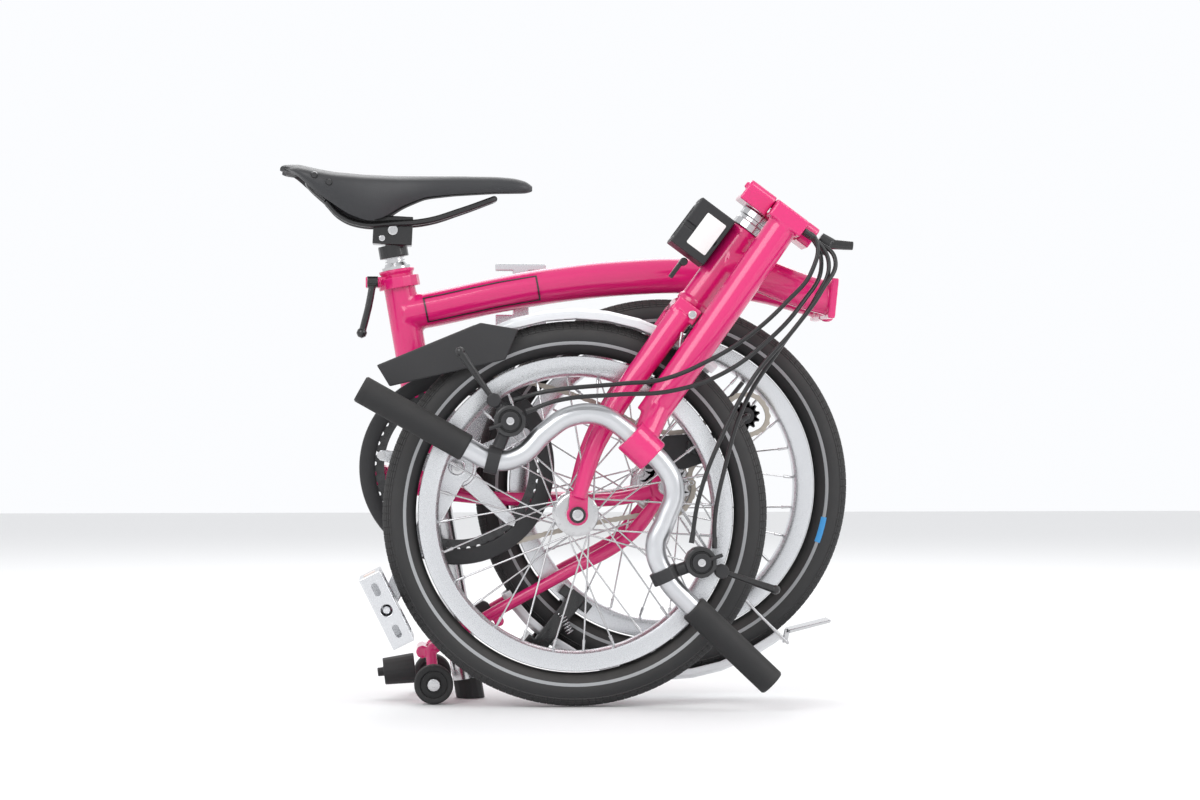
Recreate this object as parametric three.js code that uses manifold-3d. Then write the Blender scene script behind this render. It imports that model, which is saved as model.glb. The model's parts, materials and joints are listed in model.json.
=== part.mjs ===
// A folding bicycle, folded. Millimetres, +X to the saddle nose, +Y to the left side, +Z up.
import * as THREE from 'three';
import { mergeVertices } from 'three/addons/utils/BufferGeometryUtils.js';
import Module from 'manifold-3d';

const wasm = await Module();
wasm.setup();

// Driving dimensions
const clearance = 0.3;          // between pieces that touch
const mainPlane = 0;            // middle plane of main frame and rear wheel
const frontPlane = -112;        // middle plane of the folded front wheel
const postPlane = -163;         // axis of the folded handlepost
const barPlane = -186;          // axis of the folded handlebar
const wheelRadius = 210;        // outside of the tyre
const tyreWidth = 35;
const tyreHeight = 38.5;
const rimOuter = wheelRadius - tyreHeight;
const rimDepth = 22.5;
const rimInner = rimOuter - rimDepth;
const rimWidth = 24;
const spokeCount = 16;
const spokeWidth = 2.2;
const frontWheelX = -27;
const frontWheelZ = 210.6;
const rearWheelX = 76;
const rearWheelZ = 238;
const mainTubeRadius = 20;
const seatPostRadius = 15.9;
const seatTubeWall = 1.4;
const seatTubeRadius = seatPostRadius + clearance + seatTubeWall;
const steererRadius = 12.7;
const headTubeRadius = steererRadius + 4.3;
const handlePostRadius = 17;
const barRadius = 11;
const gripRadius = barRadius + 4;
const stayRadius = 6.5;
const crankLength = 170;
const pedalTyreGap = 19.2;      // from the front tyre to the right pedal's spindle
const bottomBracketX = -155;
const bottomBracketZ = 260;
const shellRadius = 19;
const shellHalf = 34;
const ringRadius = 94;
const guardGap = 14;             // from the ring's teeth to the guard's edge
const chainPlane = -45;
const pivotX = -239;
const pivotZ = 250;
const rollerRadius = 21.6;
const rollerX = -181;
const rollerPlane = 75;
const pedalLength = 84;
const hingeLean = 6;            // degrees of the main hinge axis from vertical
const mudguardWall = 2.4;
const mudguardWidth = 46;
const cableRadius = 2.4;

const degree = Math.PI / 180;

// The folded crank turns until its pedal just clears the front tyre
const wheelAway = Math.hypot(frontWheelX - bottomBracketX, bottomBracketZ - frontWheelZ);
const wheelBelow = Math.atan2(bottomBracketZ - frontWheelZ, frontWheelX - bottomBracketX);
const pedalAway = wheelRadius + pedalTyreGap;
const crankOpen = Math.acos((crankLength ** 2 + wheelAway ** 2 - pedalAway ** 2) / (2 * crankLength
  * wheelAway));
const crankAngle = crankOpen + wheelBelow - Math.PI / 2;
const point = (x, y, z) => new THREE.Vector3(x, y, z);

// Solids: closed meshes joined and cut
function toSolid(geometry) {
  const bare = geometry.index ? geometry.toNonIndexed() : geometry.clone();
  for (const name of Object.keys(bare.attributes)) {
    if (name !== 'position') bare.deleteAttribute(name);
  }
  const merged = mergeVertices(bare, 1e-4);
  const place = merged.attributes.position;
  const corner = merged.index.array;
  const kept = [];
  let volume = 0;
  for (let i = 0; i < corner.length; i += 3) {
    const [a, b, c] = [corner[i], corner[i + 1], corner[i + 2]];
    if (a === b || b === c || c === a) continue;
    kept.push(a, b, c);
    const pa = point(0, 0, 0).fromBufferAttribute(place, a);
    const pb = point(0, 0, 0).fromBufferAttribute(place, b);
    const pc = point(0, 0, 0).fromBufferAttribute(place, c);
    volume += pa.dot(pb.cross(pc));
  }
  if (volume < 0) kept.reverse();
  const vertProperties = new Float32Array(place.array);
  const triVerts = new Uint32Array(kept);
  return new wasm.Manifold(new wasm.Mesh({ numProp: 3, vertProperties, triVerts }));
}

function join(...solids) {
  return solids.reduce((whole, next) => whole.add(next));
}

function toGeometry(solid) {
  const mesh = solid.getMesh();
  const geometry = new THREE.BufferGeometry();
  geometry.setAttribute('position', new THREE.BufferAttribute(mesh.vertProperties, 3));
  geometry.setIndex(new THREE.BufferAttribute(mesh.triVerts, 1));
  geometry.computeVertexNormals();
  return geometry;
}

// A round bar from one point to another
function rod(from, to, radius, sides = 12, endRadius = radius) {
  const along = to.clone().sub(from);
  const geometry = new THREE.CylinderGeometry(endRadius, radius, along.length(), sides);
  const turn = new THREE.Quaternion().setFromUnitVectors(point(0, 1, 0), along.clone().normalize());
  geometry.applyQuaternion(turn);
  geometry.translate(...from.clone().add(to).multiplyScalar(0.5).toArray());
  return toSolid(geometry);
}

// A pipe: a bar with a bore that runs past both ends
function pipe(from, to, radius, bore, sides = 14) {
  const over = to.clone().sub(from).normalize();
  const inner = rod(from.clone().sub(over), to.clone().add(over), bore, sides);
  return rod(from, to, radius, sides).subtract(inner);
}

function crossBar(x, z, from, to, radius, sides = 14) {
  return rod(point(x, from, z), point(x, to, z), radius, sides);
}

function crossPipe(x, z, from, to, radius, bore, sides = 20) {
  return pipe(point(x, from, z), point(x, to, z), radius, bore, sides);
}

// A bar swept along a smooth curve through the points
function sweep(points, radius, sides, steps, curveType = 'centripetal') {
  const curve = new THREE.CatmullRomCurve3(points, false, curveType);
  const outline = new THREE.Shape();
  for (let i = 0; i < sides; i++) {
    const angle = (i + 0.5) / sides * 2 * Math.PI;
    const [x, y] = [radius * Math.cos(angle), radius * Math.sin(angle)];
    if (i === 0) outline.moveTo(x, y);
    else outline.lineTo(x, y);
  }
  outline.closePath();
  const options = { steps, bevelEnabled: false, extrudePath: curve, curveSegments: 1 };
  return toSolid(new THREE.ExtrudeGeometry(outline, options));
}

// A box by its middle, size and turn about Y
function block(middle, size, turn = 0) {
  const geometry = new THREE.BoxGeometry(size.x, size.y, size.z);
  geometry.rotateY(turn);
  geometry.translate(middle.x, middle.y, middle.z);
  return toSolid(geometry);
}

// A flat plate: an outline of [x, z] points between two places along Y
function plate(outline, from, to) {
  const shape = new THREE.Shape(outline.map(([x, z]) => new THREE.Vector2(x, z)));
  const geometry = new THREE.ExtrudeGeometry(shape, { depth: to - from, bevelEnabled: false });
  geometry.rotateX(Math.PI / 2);
  geometry.translate(0, to, 0);
  return toSolid(geometry);
}

// A solid turned about Y from a closed profile of [radius, y] points
function turned(profile, segments) {
  const closed = [...profile, profile[0]];
  const points = closed.map(([radius, y]) => new THREE.Vector2(radius, y));
  return toSolid(new THREE.LatheGeometry(points, segments));
}

// The wedge of a wheel between two angles, counted from +X towards +Z
function wedge(fromAngle, toAngle, radius, half) {
  const outline = [[0, 0]];
  const steps = Math.ceil((toAngle - fromAngle) / 30);
  for (let i = 0; i <= steps; i++) {
    const angle = (fromAngle + (toAngle - fromAngle) * i / steps) * degree;
    outline.push([radius * Math.cos(angle), radius * Math.sin(angle)]);
  }
  return plate(outline, -half, half);
}

// Colours
const paint = { color: 0xd9166f, roughness: 0.22, metalness: 0.0 };
const alloy = { color: 0xc9ccd0, roughness: 0.3, metalness: 0.9 };
const steel = { color: 0xb4b6b8, roughness: 0.35, metalness: 1.0 };
const rubber = { color: 0x1d1d1f, roughness: 0.85, metalness: 0.0 };
const blackPlastic = { color: 0x151516, roughness: 0.45, metalness: 0.0 };
const blackMetal = { color: 0x111112, roughness: 0.3, metalness: 0.4 };
const guardSilver = { color: 0xe4e6e8, roughness: 0.35, metalness: 0.3 };
const leather = { color: 0x202124, roughness: 0.6, metalness: 0.0 };

const bicycle = new THREE.Group();

function add(name, solid, look, parent = bicycle) {
  const material = new THREE.MeshStandardMaterial(look);
  const mesh = new THREE.Mesh(toGeometry(solid), material);
  mesh.name = name;
  parent.add(mesh);
  return mesh;
}

function group(x, y, z, parent = bicycle) {
  const made = new THREE.Group();
  made.position.set(x, y, z);
  parent.add(made);
  return made;
}

// Steering frame: up the steering axis (t), along the stem hinge (u) and across (y)
const crown = point(98.5, frontPlane, 435);
const steerUp = point(0.5966, 0, 0.8025);
const steerAside = point(0.8025, 0, -0.5966);
const steerTurn = Math.atan2(steerUp.x, steerUp.z);

function onSteer(t, u, y) {
  const place = crown.clone().addScaledVector(steerUp, t).addScaledVector(steerAside, u);
  place.y = y;
  return place;
}

function steerBlock(t, u, y) {
  const middle = onSteer((t[0] + t[1]) / 2, (u[0] + u[1]) / 2, (y[0] + y[1]) / 2);
  return block(middle, point(u[1] - u[0], y[1] - y[0], t[1] - t[0]), steerTurn);
}

// Hinge frame: up the main hinge axis (n) and along its faces' normal (m)
const hingeY = -56;
const hingeFoot = point(258, hingeY, 445);
const hingeUp = point(Math.sin(hingeLean * degree), 0, Math.cos(hingeLean * degree));
const hingeOut = point(Math.cos(hingeLean * degree), 0, -Math.sin(hingeLean * degree));
const hingeHalf = 22;
const hingeWall = 8;
const knuckleRadius = 8;
const pinRadius = 4;
const knuckleThird = hingeHalf * 2 / 3;

function onHinge(n, m, y) {
  const place = hingeFoot.clone().addScaledVector(hingeUp, n).addScaledVector(hingeOut, m);
  place.y = y;
  return place;
}

function hingeBlock(n, m, y) {
  const middle = onHinge((n[0] + n[1]) / 2, (m[0] + m[1]) / 2, (y[0] + y[1]) / 2);
  return block(middle, point(m[1] - m[0], y[1] - y[0], n[1] - n[0]), hingeLean * degree);
}

function knuckle(from, to) {
  return rod(onHinge(from, 0, hingeY), onHinge(to, 0, hingeY), knuckleRadius, 12);
}

// Seat tube axis
const seatTubeTop = point(-222, mainPlane, 481);
const seatTubeFoot = point(-180, mainPlane, 238);
const seatUp = seatTubeTop.clone().sub(seatTubeFoot).normalize();
const postFloorGap = 0.4;

function onSeat(z) {
  return seatTubeFoot.clone().addScaledVector(seatUp, (z - seatTubeFoot.z) / seatUp.z);
}

// Main frame
const pivotHalf = 22;
const pivotSleeve = 11;
const pivotPinRadius = 5;

function mainFrame() {
  const plateM = [-hingeWall - 0.5, -0.5];
  const plateBack = onHinge(2, plateM[0] + 3, mainPlane);
  const mainCurve = [point(-214, 0, 430), point(-174, 0, 438), point(-106, 0, 452.9),
    point(-40, 0, 464), point(35, 0, 472), point(110, 0, 474), point(187, 0, 464.5), plateBack];
  const mainTube = sweep(mainCurve, mainTubeRadius, 12, 9);
  const seatTube = rod(seatTubeFoot, seatTubeTop, seatTubeRadius, 14);
  const lip = rod(onSeat(seatTubeTop.z - 4), seatTubeTop, seatTubeRadius + 2.4, 14);
  const shell = crossBar(bottomBracketX, bottomBracketZ, -shellHalf, shellHalf, shellRadius, 14);
  const pivotLug = crossBar(pivotX, pivotZ, -pivotHalf, pivotHalf, pivotSleeve, 12);
  const bridge = plate([[pivotX, pivotZ - 9], [pivotX, pivotZ + 9], [bottomBracketX, bottomBracketZ + 14],
    [bottomBracketX, bottomBracketZ - 14]], -9, 9);
  const hingePlate = hingeBlock([-hingeHalf, hingeHalf], plateM, [hingeY, 23]);
  let frame = join(mainTube, seatTube, lip, shell, pivotLug, bridge, hingePlate,
    knuckle(knuckleThird / 2, hingeHalf), knuckle(-hingeHalf, -knuckleThird / 2));
  const middleGap = hingeBlock([-knuckleThird / 2, knuckleThird / 2],
    [-knuckleRadius - 1, knuckleRadius + 1], [hingeY - 12, hingeY + knuckleRadius + 1.5]);
  const bores = join(
    rod(onSeat(180), onSeat(520), seatPostRadius + clearance, 14),
    crossBar(bottomBracketX, bottomBracketZ, -40, 40, shellRadius - 5, 14),
    crossBar(pivotX, pivotZ, -30, 30, 4, 12));
  frame = frame.subtract(middleGap).subtract(bores);
  return join(frame, hingePin(), pivotPin());
}

function hingePin() {
  const shank = rod(onHinge(-hingeHalf - 2, 0, hingeY), onHinge(hingeHalf - 1, 0, hingeY), pinRadius, 12);
  const head = rod(onHinge(hingeHalf - 1, 0, hingeY), onHinge(hingeHalf + 4, 0, hingeY), 6.5, 12);
  return join(shank, head);
}

function pivotPin() {
  return join(crossBar(pivotX, pivotZ, -38, 38, pivotPinRadius, 12),
    crossBar(pivotX, pivotZ, -40.6, -37.4, 8, 12), crossBar(pivotX, pivotZ, 37.4, 40.6, 8, 12));
}

add('main_frame', mainFrame(), paint);

// Seat clamp: a split band with two ears, its bolt and its quick lever
const clampZ = 466;
const clampHeight = 12;
const bandBore = seatTubeRadius + 2 * clearance;
const earX = onSeat(clampZ).x - 32;

function seatClamp() {
  const band = pipe(onSeat(clampZ - clampHeight / 2), onSeat(clampZ + clampHeight / 2), bandBore + 5.3,
    bandBore, 14);
  const ears = block(point(earX + 8, 0, clampZ), point(26, 26, clampHeight));
  const slot = block(point(earX + 4, 0, clampZ), point(46, 4, clampHeight * 3));
  const tubeHole = rod(onSeat(clampZ - 20), onSeat(clampZ + 20), bandBore, 14);
  return join(join(band, ears).subtract(slot).subtract(tubeHole), seatClampBolt());
}

function seatClampBolt() {
  const shank = crossBar(earX + 3, clampZ, -22, 18, 3, 10);
  const nut = crossBar(earX + 3, clampZ, 12.6, 20, 6.5, 12);
  const washer = crossBar(earX + 3, clampZ, -16, -12.6, 7, 12);
  return join(shank, nut, washer);
}

// The lever's cam sits on the bolt's end and turns about X
const quickLeverY = -29;

function seatLever() {
  const cam = rod(point(earX - 3, quickLeverY, clampZ), point(earX + 9, quickLeverY, clampZ), 6.4, 14);
  const arm = sweep([point(earX + 3, quickLeverY, clampZ - 3), point(earX - 1, quickLeverY - 2, 440),
    point(earX - 8, quickLeverY - 3, 412)], 4.2, 6, 4);
  const ball = toSolid(new THREE.SphereGeometry(6.2, 8, 6).translate(earX - 9, quickLeverY - 3, 409));
  return join(cam, arm, ball);
}

add('seat_clamp', seatClamp(), paint);
add('seat_clamp_lever', seatLever(), blackMetal);

// Main hinge clamp on the far side: plate with bolt, and a wing lever
const clampBoltN = -2;

function mainClampPlate() {
  const body = hingeBlock([-13, 13], [-12, 12], [26, 33]);
  const lipFar = hingeBlock([-13, 13], [-12, -9.2], [16, 27]);
  const hole = rod(onHinge(clampBoltN, 0, 10), onHinge(clampBoltN, 0, 60), 4.4, 12);
  const free = hingeBlock([-30, 30], [-hingeWall - 1, 40], [10, 23.5]);
  const tube = rod(onHinge(0, -60, 0), onHinge(0, 0, 0), mainTubeRadius + 1.5, 16);
  return join(body, lipFar).subtract(hole).subtract(free).subtract(tube);
}

function mainClampLever() {
  const shank = rod(onHinge(clampBoltN, 0, 23.6), onHinge(clampBoltN, 0, 50), 4, 12);
  const hub = rod(onHinge(clampBoltN, 0, 34), onHinge(clampBoltN, 0, 50), 8.5, 14);
  const arm = rod(onHinge(clampBoltN, 0, 44), onHinge(clampBoltN, -44, 46), 5.5, 10, 4.5);
  return join(shank, hub, arm);
}

add('main_clamp_plate', mainClampPlate(), alloy);
add('main_clamp_lever', mainClampLever(), blackMetal);

// Front frame: hinge plate, stub and head tube
const headBottom = 1.3;
const headTop = 104;

function frontFrame() {
  const plateM = [-hingeWall - 0.5, -0.5];
  const far = 2 * hingeY - 23;
  const hingePlate = hingeBlock([-hingeHalf, hingeHalf], plateM, [far, hingeY]);
  const stubStart = onHinge(0, -5, frontPlane);
  const headMiddle = onSteer(66, 0, frontPlane);
  const stub = sweep([stubStart, onHinge(6, -40, frontPlane), headMiddle], mainTubeRadius - 1, 12, 4);
  const head = rod(onSteer(headBottom, 0, frontPlane), onSteer(headTop, 0, frontPlane), headTubeRadius, 16);
  const bore = rod(onSteer(-20, 0, frontPlane), onSteer(140, 0, frontPlane), steererRadius + 1, 14);
  const keepN = knuckleThird / 2 - 0.4;
  const keep = hingeBlock([-keepN, keepN], [-9, 9], [hingeY - 9, hingeY + 9]);
  const room = hingeBlock([-40, 40], [-9.4, 9.4], [hingeY - knuckleRadius - 1.5, hingeY + 12]);
  const body = join(hingePlate, stub, head).subtract(room);
  const arm = hingeBlock([-knuckleThird / 2 + 0.4, knuckleThird / 2 - 0.4], [-hingeWall - 0.5, -0.5],
    [hingeY - 14, hingeY]);
  const middle = knuckle(-20, 20).intersect(keep);
  const pin = rod(onHinge(-40, 0, hingeY), onHinge(40, 0, hingeY), pinRadius + clearance, 12);
  return join(body, arm, middle).subtract(bore).subtract(pin);
}

// Headset: two ring sets between head tube, crown and stem
function headsetRing(from, to, radius) {
  return pipe(onSteer(from, 0, frontPlane), onSteer(to, 0, frontPlane), radius,
    steererRadius + clearance, 14);
}

function headsetUpper() {
  const cup = headsetRing(headTop + clearance, headTop + 9, headTubeRadius + 2.5);
  const race = headsetRing(headTop + 8, headTop + 15, headTubeRadius - 0.5);
  const nut = headsetRing(headTop + 14, headTop + 22, headTubeRadius + 2);
  return join(cup, race, nut);
}

add('front_frame', frontFrame(), paint);
add('headset_upper', headsetUpper(), steel);

// Luggage block on the front of the head tube, with its catch
function luggageBlock() {
  const bodyY = [frontPlane - 28, frontPlane + 28];
  const body = steerBlock([44, headTop - 1], [-62, -headTubeRadius - clearance], bodyY);
  const notch = steerBlock([55, 92], [-70, -48], [frontPlane - 17, frontPlane + 17]);
  const groove = steerBlock([67, 73], [-70, -20], [frontPlane - 40, frontPlane - 25.5]);
  return body.subtract(notch).subtract(groove);
}

const catchT = 36;

function luggageCatch() {
  const hub = rod(onSteer(catchT, -36, frontPlane - 10), onSteer(catchT, -36, frontPlane + 10), 4.5, 12);
  const arm = steerBlock([catchT - 22, catchT], [-40, -35], [frontPlane - 6, frontPlane + 6]);
  return join(hub, arm);
}

add('luggage_block', luggageBlock(), blackPlastic);
add('luggage_catch', luggageCatch(), blackMetal);

// Fork: steerer, crown, two blades and drop-outs
const stemBase = headTop + 22.3;
const stemPlate = [stemBase + 0.2, stemBase + 7.2];
const stemAxisT = stemPlate[1] + 9.5;
const stemAxisY = -137;
const frontAxleRadius = 5;
const frontHubHalf = 37;
const rearHubHalf = 49;
const dropOutWall = 6.5;

function blade(side) {
  const spread = frontPlane + side * 37;
  const points = [point(87, spread, 429), point(55, spread, 385), point(20, spread + side * 2, 336),
    point(-9, spread + side * 6, 282), point(-26, spread + side * 8.5, 229)];
  const radii = [14, 13.2, 12, 10, 7.5];
  const parts = points.slice(1).map((place, i) => rod(points[i], place, radii[i], 10, radii[i + 1]));
  return join(...parts);
}

function dropOut(side) {
  const faces = [side * (frontHubHalf + 0.4), side * (frontHubHalf + dropOutWall)].sort((a, b) => a - b);
  const [from, to] = faces.map((face) => frontPlane + face);
  const tab = plate([[frontWheelX - 10, frontWheelZ], [frontWheelX - 8, frontWheelZ + 26],
    [frontWheelX + 12, frontWheelZ + 26], [frontWheelX + 11, frontWheelZ]], from, to);
  return join(crossBar(frontWheelX, frontWheelZ, from, to, 12, 16), tab);
}

function fork() {
  const steerer = rod(onSteer(-8, 0, frontPlane), onSteer(stemPlate[0] + 3, 0, frontPlane),
    steererRadius - clearance, 14);
  const crownBlock = steerBlock([-17, 0.8], [-19, 11], [frontPlane - 47, frontPlane + 47]);
  const stem = steerBlock(stemPlate, [-30, 62], [stemAxisY - 3, frontPlane + 20]);
  const knuckleFrom = steerBlock([stemPlate[0], stemAxisT], [-30, 62], [stemAxisY - 8.5, stemAxisY]);
  const barrel = rod(onSteer(stemAxisT, -30, stemAxisY), onSteer(stemAxisT, 4, stemAxisY), 8.5, 12);
  const barrelEnd = rod(onSteer(stemAxisT, 46, stemAxisY), onSteer(stemAxisT, 62, stemAxisY), 8.5, 12);
  const roomY = [stemAxisY - 20, stemAxisY + 10];
  const room = steerBlock([stemPlate[0] - 1, stemAxisT + 20], [3.7, 46.3], roomY);
  const axleHole = crossBar(frontWheelX, frontWheelZ, -200, 0, frontAxleRadius + clearance, 14);
  return join(steerer, crownBlock, stem, knuckleFrom, barrel, barrelEnd, blade(-1), blade(1), dropOut(-1),
    dropOut(1)).subtract(room).subtract(axleHole).add(stemPin());
}

function stemPin() {
  return rod(onSteer(stemAxisT, -33, stemAxisY), onSteer(stemAxisT, 61, stemAxisY), pinRadius, 12);
}

add('fork', fork(), paint);

// Front brake: an arch over the tyre with two arms
const padMiddle = rimOuter - 6.4;
const brakeReach = Math.hypot(crown.x - frontWheelX, crown.z - frontWheelZ) - padMiddle;

function frontBrake() {
  const arms = [-brakeReach - 5, -2];
  const pads = [-brakeReach - 5, -brakeReach + 5];
  const arch = steerBlock([-16, 0.6], [14, 26], [frontPlane - 31.5, frontPlane + 31.5]);
  const near = steerBlock(arms, [15, 25], [frontPlane - 31.5, frontPlane - 27]);
  const far = steerBlock(arms, [15, 25], [frontPlane + 27, frontPlane + 31.5]);
  const padNear = steerBlock(pads, [10, 30], [frontPlane - 28, frontPlane - rimWidth / 2 - 2.5]);
  const padFar = steerBlock(pads, [10, 30], [frontPlane + rimWidth / 2 + 2.5, frontPlane + 28]);
  return join(arch, near, far, padNear, padFar);
}

add('front_brake', frontBrake(), blackMetal);

// Mudguards: a thin arch with turned-down sides, cut to the stretch that each wheel has
function mudguardRing(inner, from, to) {
  const half = mudguardWidth / 2;
  const outer = inner + mudguardWall;
  const outside = [[inner - 9, -half], [outer - 4, -half], [outer, -half + 7], [outer, half - 7],
    [outer - 4, half], [inner - 9, half]];
  const inside = [[inner - 9, half - mudguardWall], [inner - 5, half - mudguardWall], [inner, half - 8],
    [inner, -half + 8], [inner - 5, -half + mudguardWall], [inner - 9, -half + mudguardWall]];
  const profile = [...outside, ...inside];
  return turned(profile, 40).intersect(wedge(from, to, 400, half + 5));
}

const frontWheel = group(frontWheelX, frontPlane, frontWheelZ);
add('front_mudguard', mudguardRing(wheelRadius + 11, 46, 118), guardSilver, frontWheel);

function mudFlap() {
  const side = [[-243, 372], [-131, 418], [-90, 411], [-104, 378], [-229, 349]];
  const near = plate(side, frontPlane - 28, frontPlane - 24.6);
  const top = plate([[-243, 372], [-137, 416], [-137, 412], [-241, 368.5]], frontPlane - 25,
    frontPlane + 26);
  return join(near, top);
}

add('front_mud_flap', mudFlap(), rubber);

// Wheels, made about their own middle
function tyre() {
  const half = tyreWidth / 2;
  const bead = rimOuter + clearance;
  const nearSide = [[bead, -half * 0.5], [bead + 8, -half * 0.8], [bead + 18, -half],
    [wheelRadius - 10, -half + 3], [wheelRadius - 3, -half * 0.46]];
  const farSide = [[wheelRadius - 3, half * 0.46], [wheelRadius - 10, half - 3], [bead + 18, half],
    [bead + 8, half * 0.8], [bead, half * 0.5]];
  return turned([...nearSide, [wheelRadius, 0], ...farSide], 32);
}

function rim() {
  const half = rimWidth / 2;
  return turned([[rimInner, -6], [rimInner + 6, -half], [rimOuter, -half], [rimOuter, -half + 2.2],
    [rimInner + 4, -6], [rimInner + 4, 6], [rimOuter, half - 2.2], [rimOuter, half], [rimInner + 6, half],
    [rimInner, 6]], 32);
}

// A hub with two flanges, and spokes that cross from flange to rim
function hub(barrel, flange, flangeHalf, hubHalf) {
  const parts = [crossBar(0, 0, -flangeHalf, flangeHalf, barrel, 12)];
  for (const side of [-1, 1]) {
    parts.push(crossBar(0, 0, side * flangeHalf - 2, side * flangeHalf + 2, flange, 14));
    parts.push(crossBar(0, 0, ...[side * flangeHalf, side * hubHalf].sort((a, b) => a - b), 8.5, 12));
  }
  for (let i = 0; i < spokeCount; i++) {
    const side = i % 2 === 0 ? -1 : 1;
    const lead = (i % 4 < 2 ? 1 : -1) * 42 * degree;
    const angle = i / spokeCount * 2 * Math.PI;
    const start = point((flange - 4) * Math.cos(angle + lead), side * flangeHalf,
    (flange - 4) * Math.sin(angle + lead));
    const end = point((rimInner - 1) * Math.cos(angle), 0, (rimInner - 1) * Math.sin(angle));
    parts.push(rod(start, end, spokeWidth / 2, 4));
  }
  const spoked = join(...parts);
  const axle = crossBar(0, 0, -hubHalf - 5, hubHalf + 5, frontAxleRadius + clearance, 10);
  return spoked.subtract(axle);
}

function axle(half, nut, nutFrom) {
  const shank = crossBar(0, 0, -half, half, frontAxleRadius, 10);
  const parts = [-1, 1].map((side) => crossBar(0, 0, ...[side * nutFrom, side * half].sort((a,
    b) => a - b), nut, 14));
  return join(shank, ...parts);
}

add('front_tyre', tyre(), rubber, frontWheel);
add('front_rim', rim(), alloy, frontWheel);
add('front_hub', hub(13, 24, 28, frontHubHalf), steel, frontWheel);
add('front_axle', axle(49, 9, frontHubHalf + dropOutWall + clearance), blackMetal, frontWheel);

// Handlepost: hinge barrel, tube and bar clamp, folded down beside the wheel
const postU = 25;
const postTop = stemAxisT + 3;
const postBottom = -146;
const clampOuter = barRadius + 8;
const bar = [[-257, 345], [-143.5, 281], [-117, 270], [-90, 275], [-63, 300], [-36, 317], [-4, 318],
  [22, 303], [40, 285], [60, 269], [75, 238], [66, 207], [55, 179], [65, 147], [92, 115], [178, 33]];
const clampPlace = point(40, barPlane, 285);
const clampAlong = point(0.72, 0, -0.694);

function handlePost() {
  const tube = rod(onSteer(postTop - 4, postU, postPlane), onSteer(postBottom + 22, postU + 8, postPlane),
    handlePostRadius, 16);
  const neck = rod(onSteer(postBottom + 40, postU + 7, postPlane), clampPlace, handlePostRadius - 1, 12,
    13);
  const barrel = rod(onSteer(stemAxisT, 4.4, stemAxisY), onSteer(stemAxisT, 45.6, stemAxisY), 8.5, 12);
  const casting = steerBlock([stemAxisT - 16, postTop], [4.4, 45.6], [postPlane - 18, stemAxisY - 8]);
  const tie = steerBlock([stemAxisT - 6, postTop], [4.4, 45.6], [stemAxisY - 12, stemAxisY - 2]);
  const clamp = rod(clampPlace.clone().addScaledVector(clampAlong, -17),
    clampPlace.clone().addScaledVector(clampAlong, 17), clampOuter, 14);
  const bore = sweep(barPoints(), barRadius + clearance, 10, 44);
  const pin = rod(onSteer(stemAxisT, -50, stemAxisY), onSteer(stemAxisT, 80, stemAxisY),
    pinRadius + clearance, 12);
  return join(tube, neck, barrel, casting, tie, clamp).subtract(bore).subtract(pin);
}

function barPoints() {
  return bar.map(([x, z]) => point(x, barPlane, z));
}

function barCurve() {
  return new THREE.CatmullRomCurve3(barPoints(), false, 'centripetal');
}

add('handlepost', handlePost(), paint);
add('handlebar', sweep(barPoints(), barRadius, 10, 44), alloy);

// Grips: closed sleeves over the bar's two ends
function grip(end, inner) {
  const out = end.clone().sub(inner).normalize();
  const sleeve = rod(inner.clone().addScaledVector(out, 4), end.clone().addScaledVector(out, 4),
    gripRadius, 14);
  const shank = rod(inner.clone().addScaledVector(out, -6), end.clone().addScaledVector(out, 0.4),
    barRadius + 1.2, 12);
  return sleeve.subtract(shank);
}

const barPlaces = barPoints();
add('left_grip', grip(barPlaces[0], barPlaces[1]), rubber);
add('right_grip', grip(barPlaces[15], barPlaces[14]), rubber);

// Controls: a clamp on the bar, a round shifter pod, and a brake lever on a pivot
function control(pod, hold, along, lever) {
  const band = rod(hold.clone().addScaledVector(along, -7), hold.clone().addScaledVector(along, 7),
    barRadius + 4.5, 14);
  const body = rod(point(pod.x, barPlane - 13, pod.z), point(pod.x, barPlane + 9, pod.z), 17, 14);
  const neck = rod(hold, point(pod.x, barPlane, pod.z), 7, 10);
  const horn = rod(point(pod.x, barPlane, pod.z), point(lever.x, barPlane, lever.z), 6, 10);
  const fork = crossBar(lever.x, lever.z, barPlane - 7, barPlane + 7, 8, 10);
  const bore = sweep(barPoints(), barRadius + clearance, 10, 44);
  const slot = crossBar(lever.x, lever.z, barPlane - 3.6, barPlane + 3.6, 12, 10);
  return join(band, body, neck, horn, fork).subtract(slot).subtract(bore);
}

function brakeLever(pivot, tip) {
  const eye = crossBar(pivot.x, pivot.z, barPlane - 3, barPlane + 3, 7, 10);
  const out = tip.clone().sub(pivot).normalize();
  const root = pivot.clone().addScaledVector(out, 3);
  const arm = rod(root, tip, 3, 8, 4.6);
  const knob = toSolid(new THREE.SphereGeometry(5.6, 8, 5).translate(tip.x, tip.y, tip.z));
  return join(eye, arm, knob);
}

// The shifter's paddle turns on the pod's near face
function shifter(pod, angle) {
  const face = barPlane - 13 - clearance;
  const cap = crossBar(pod.x, pod.z, face - 5, face, 10, 16);
  const reach = point(Math.cos(angle), 0, Math.sin(angle));
  const tip = point(pod.x, face - 2.5, pod.z).addScaledVector(reach, 24);
  return join(cap, rod(point(pod.x, face - 2.5, pod.z), tip, 2.4, 8, 2.2));
}

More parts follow.
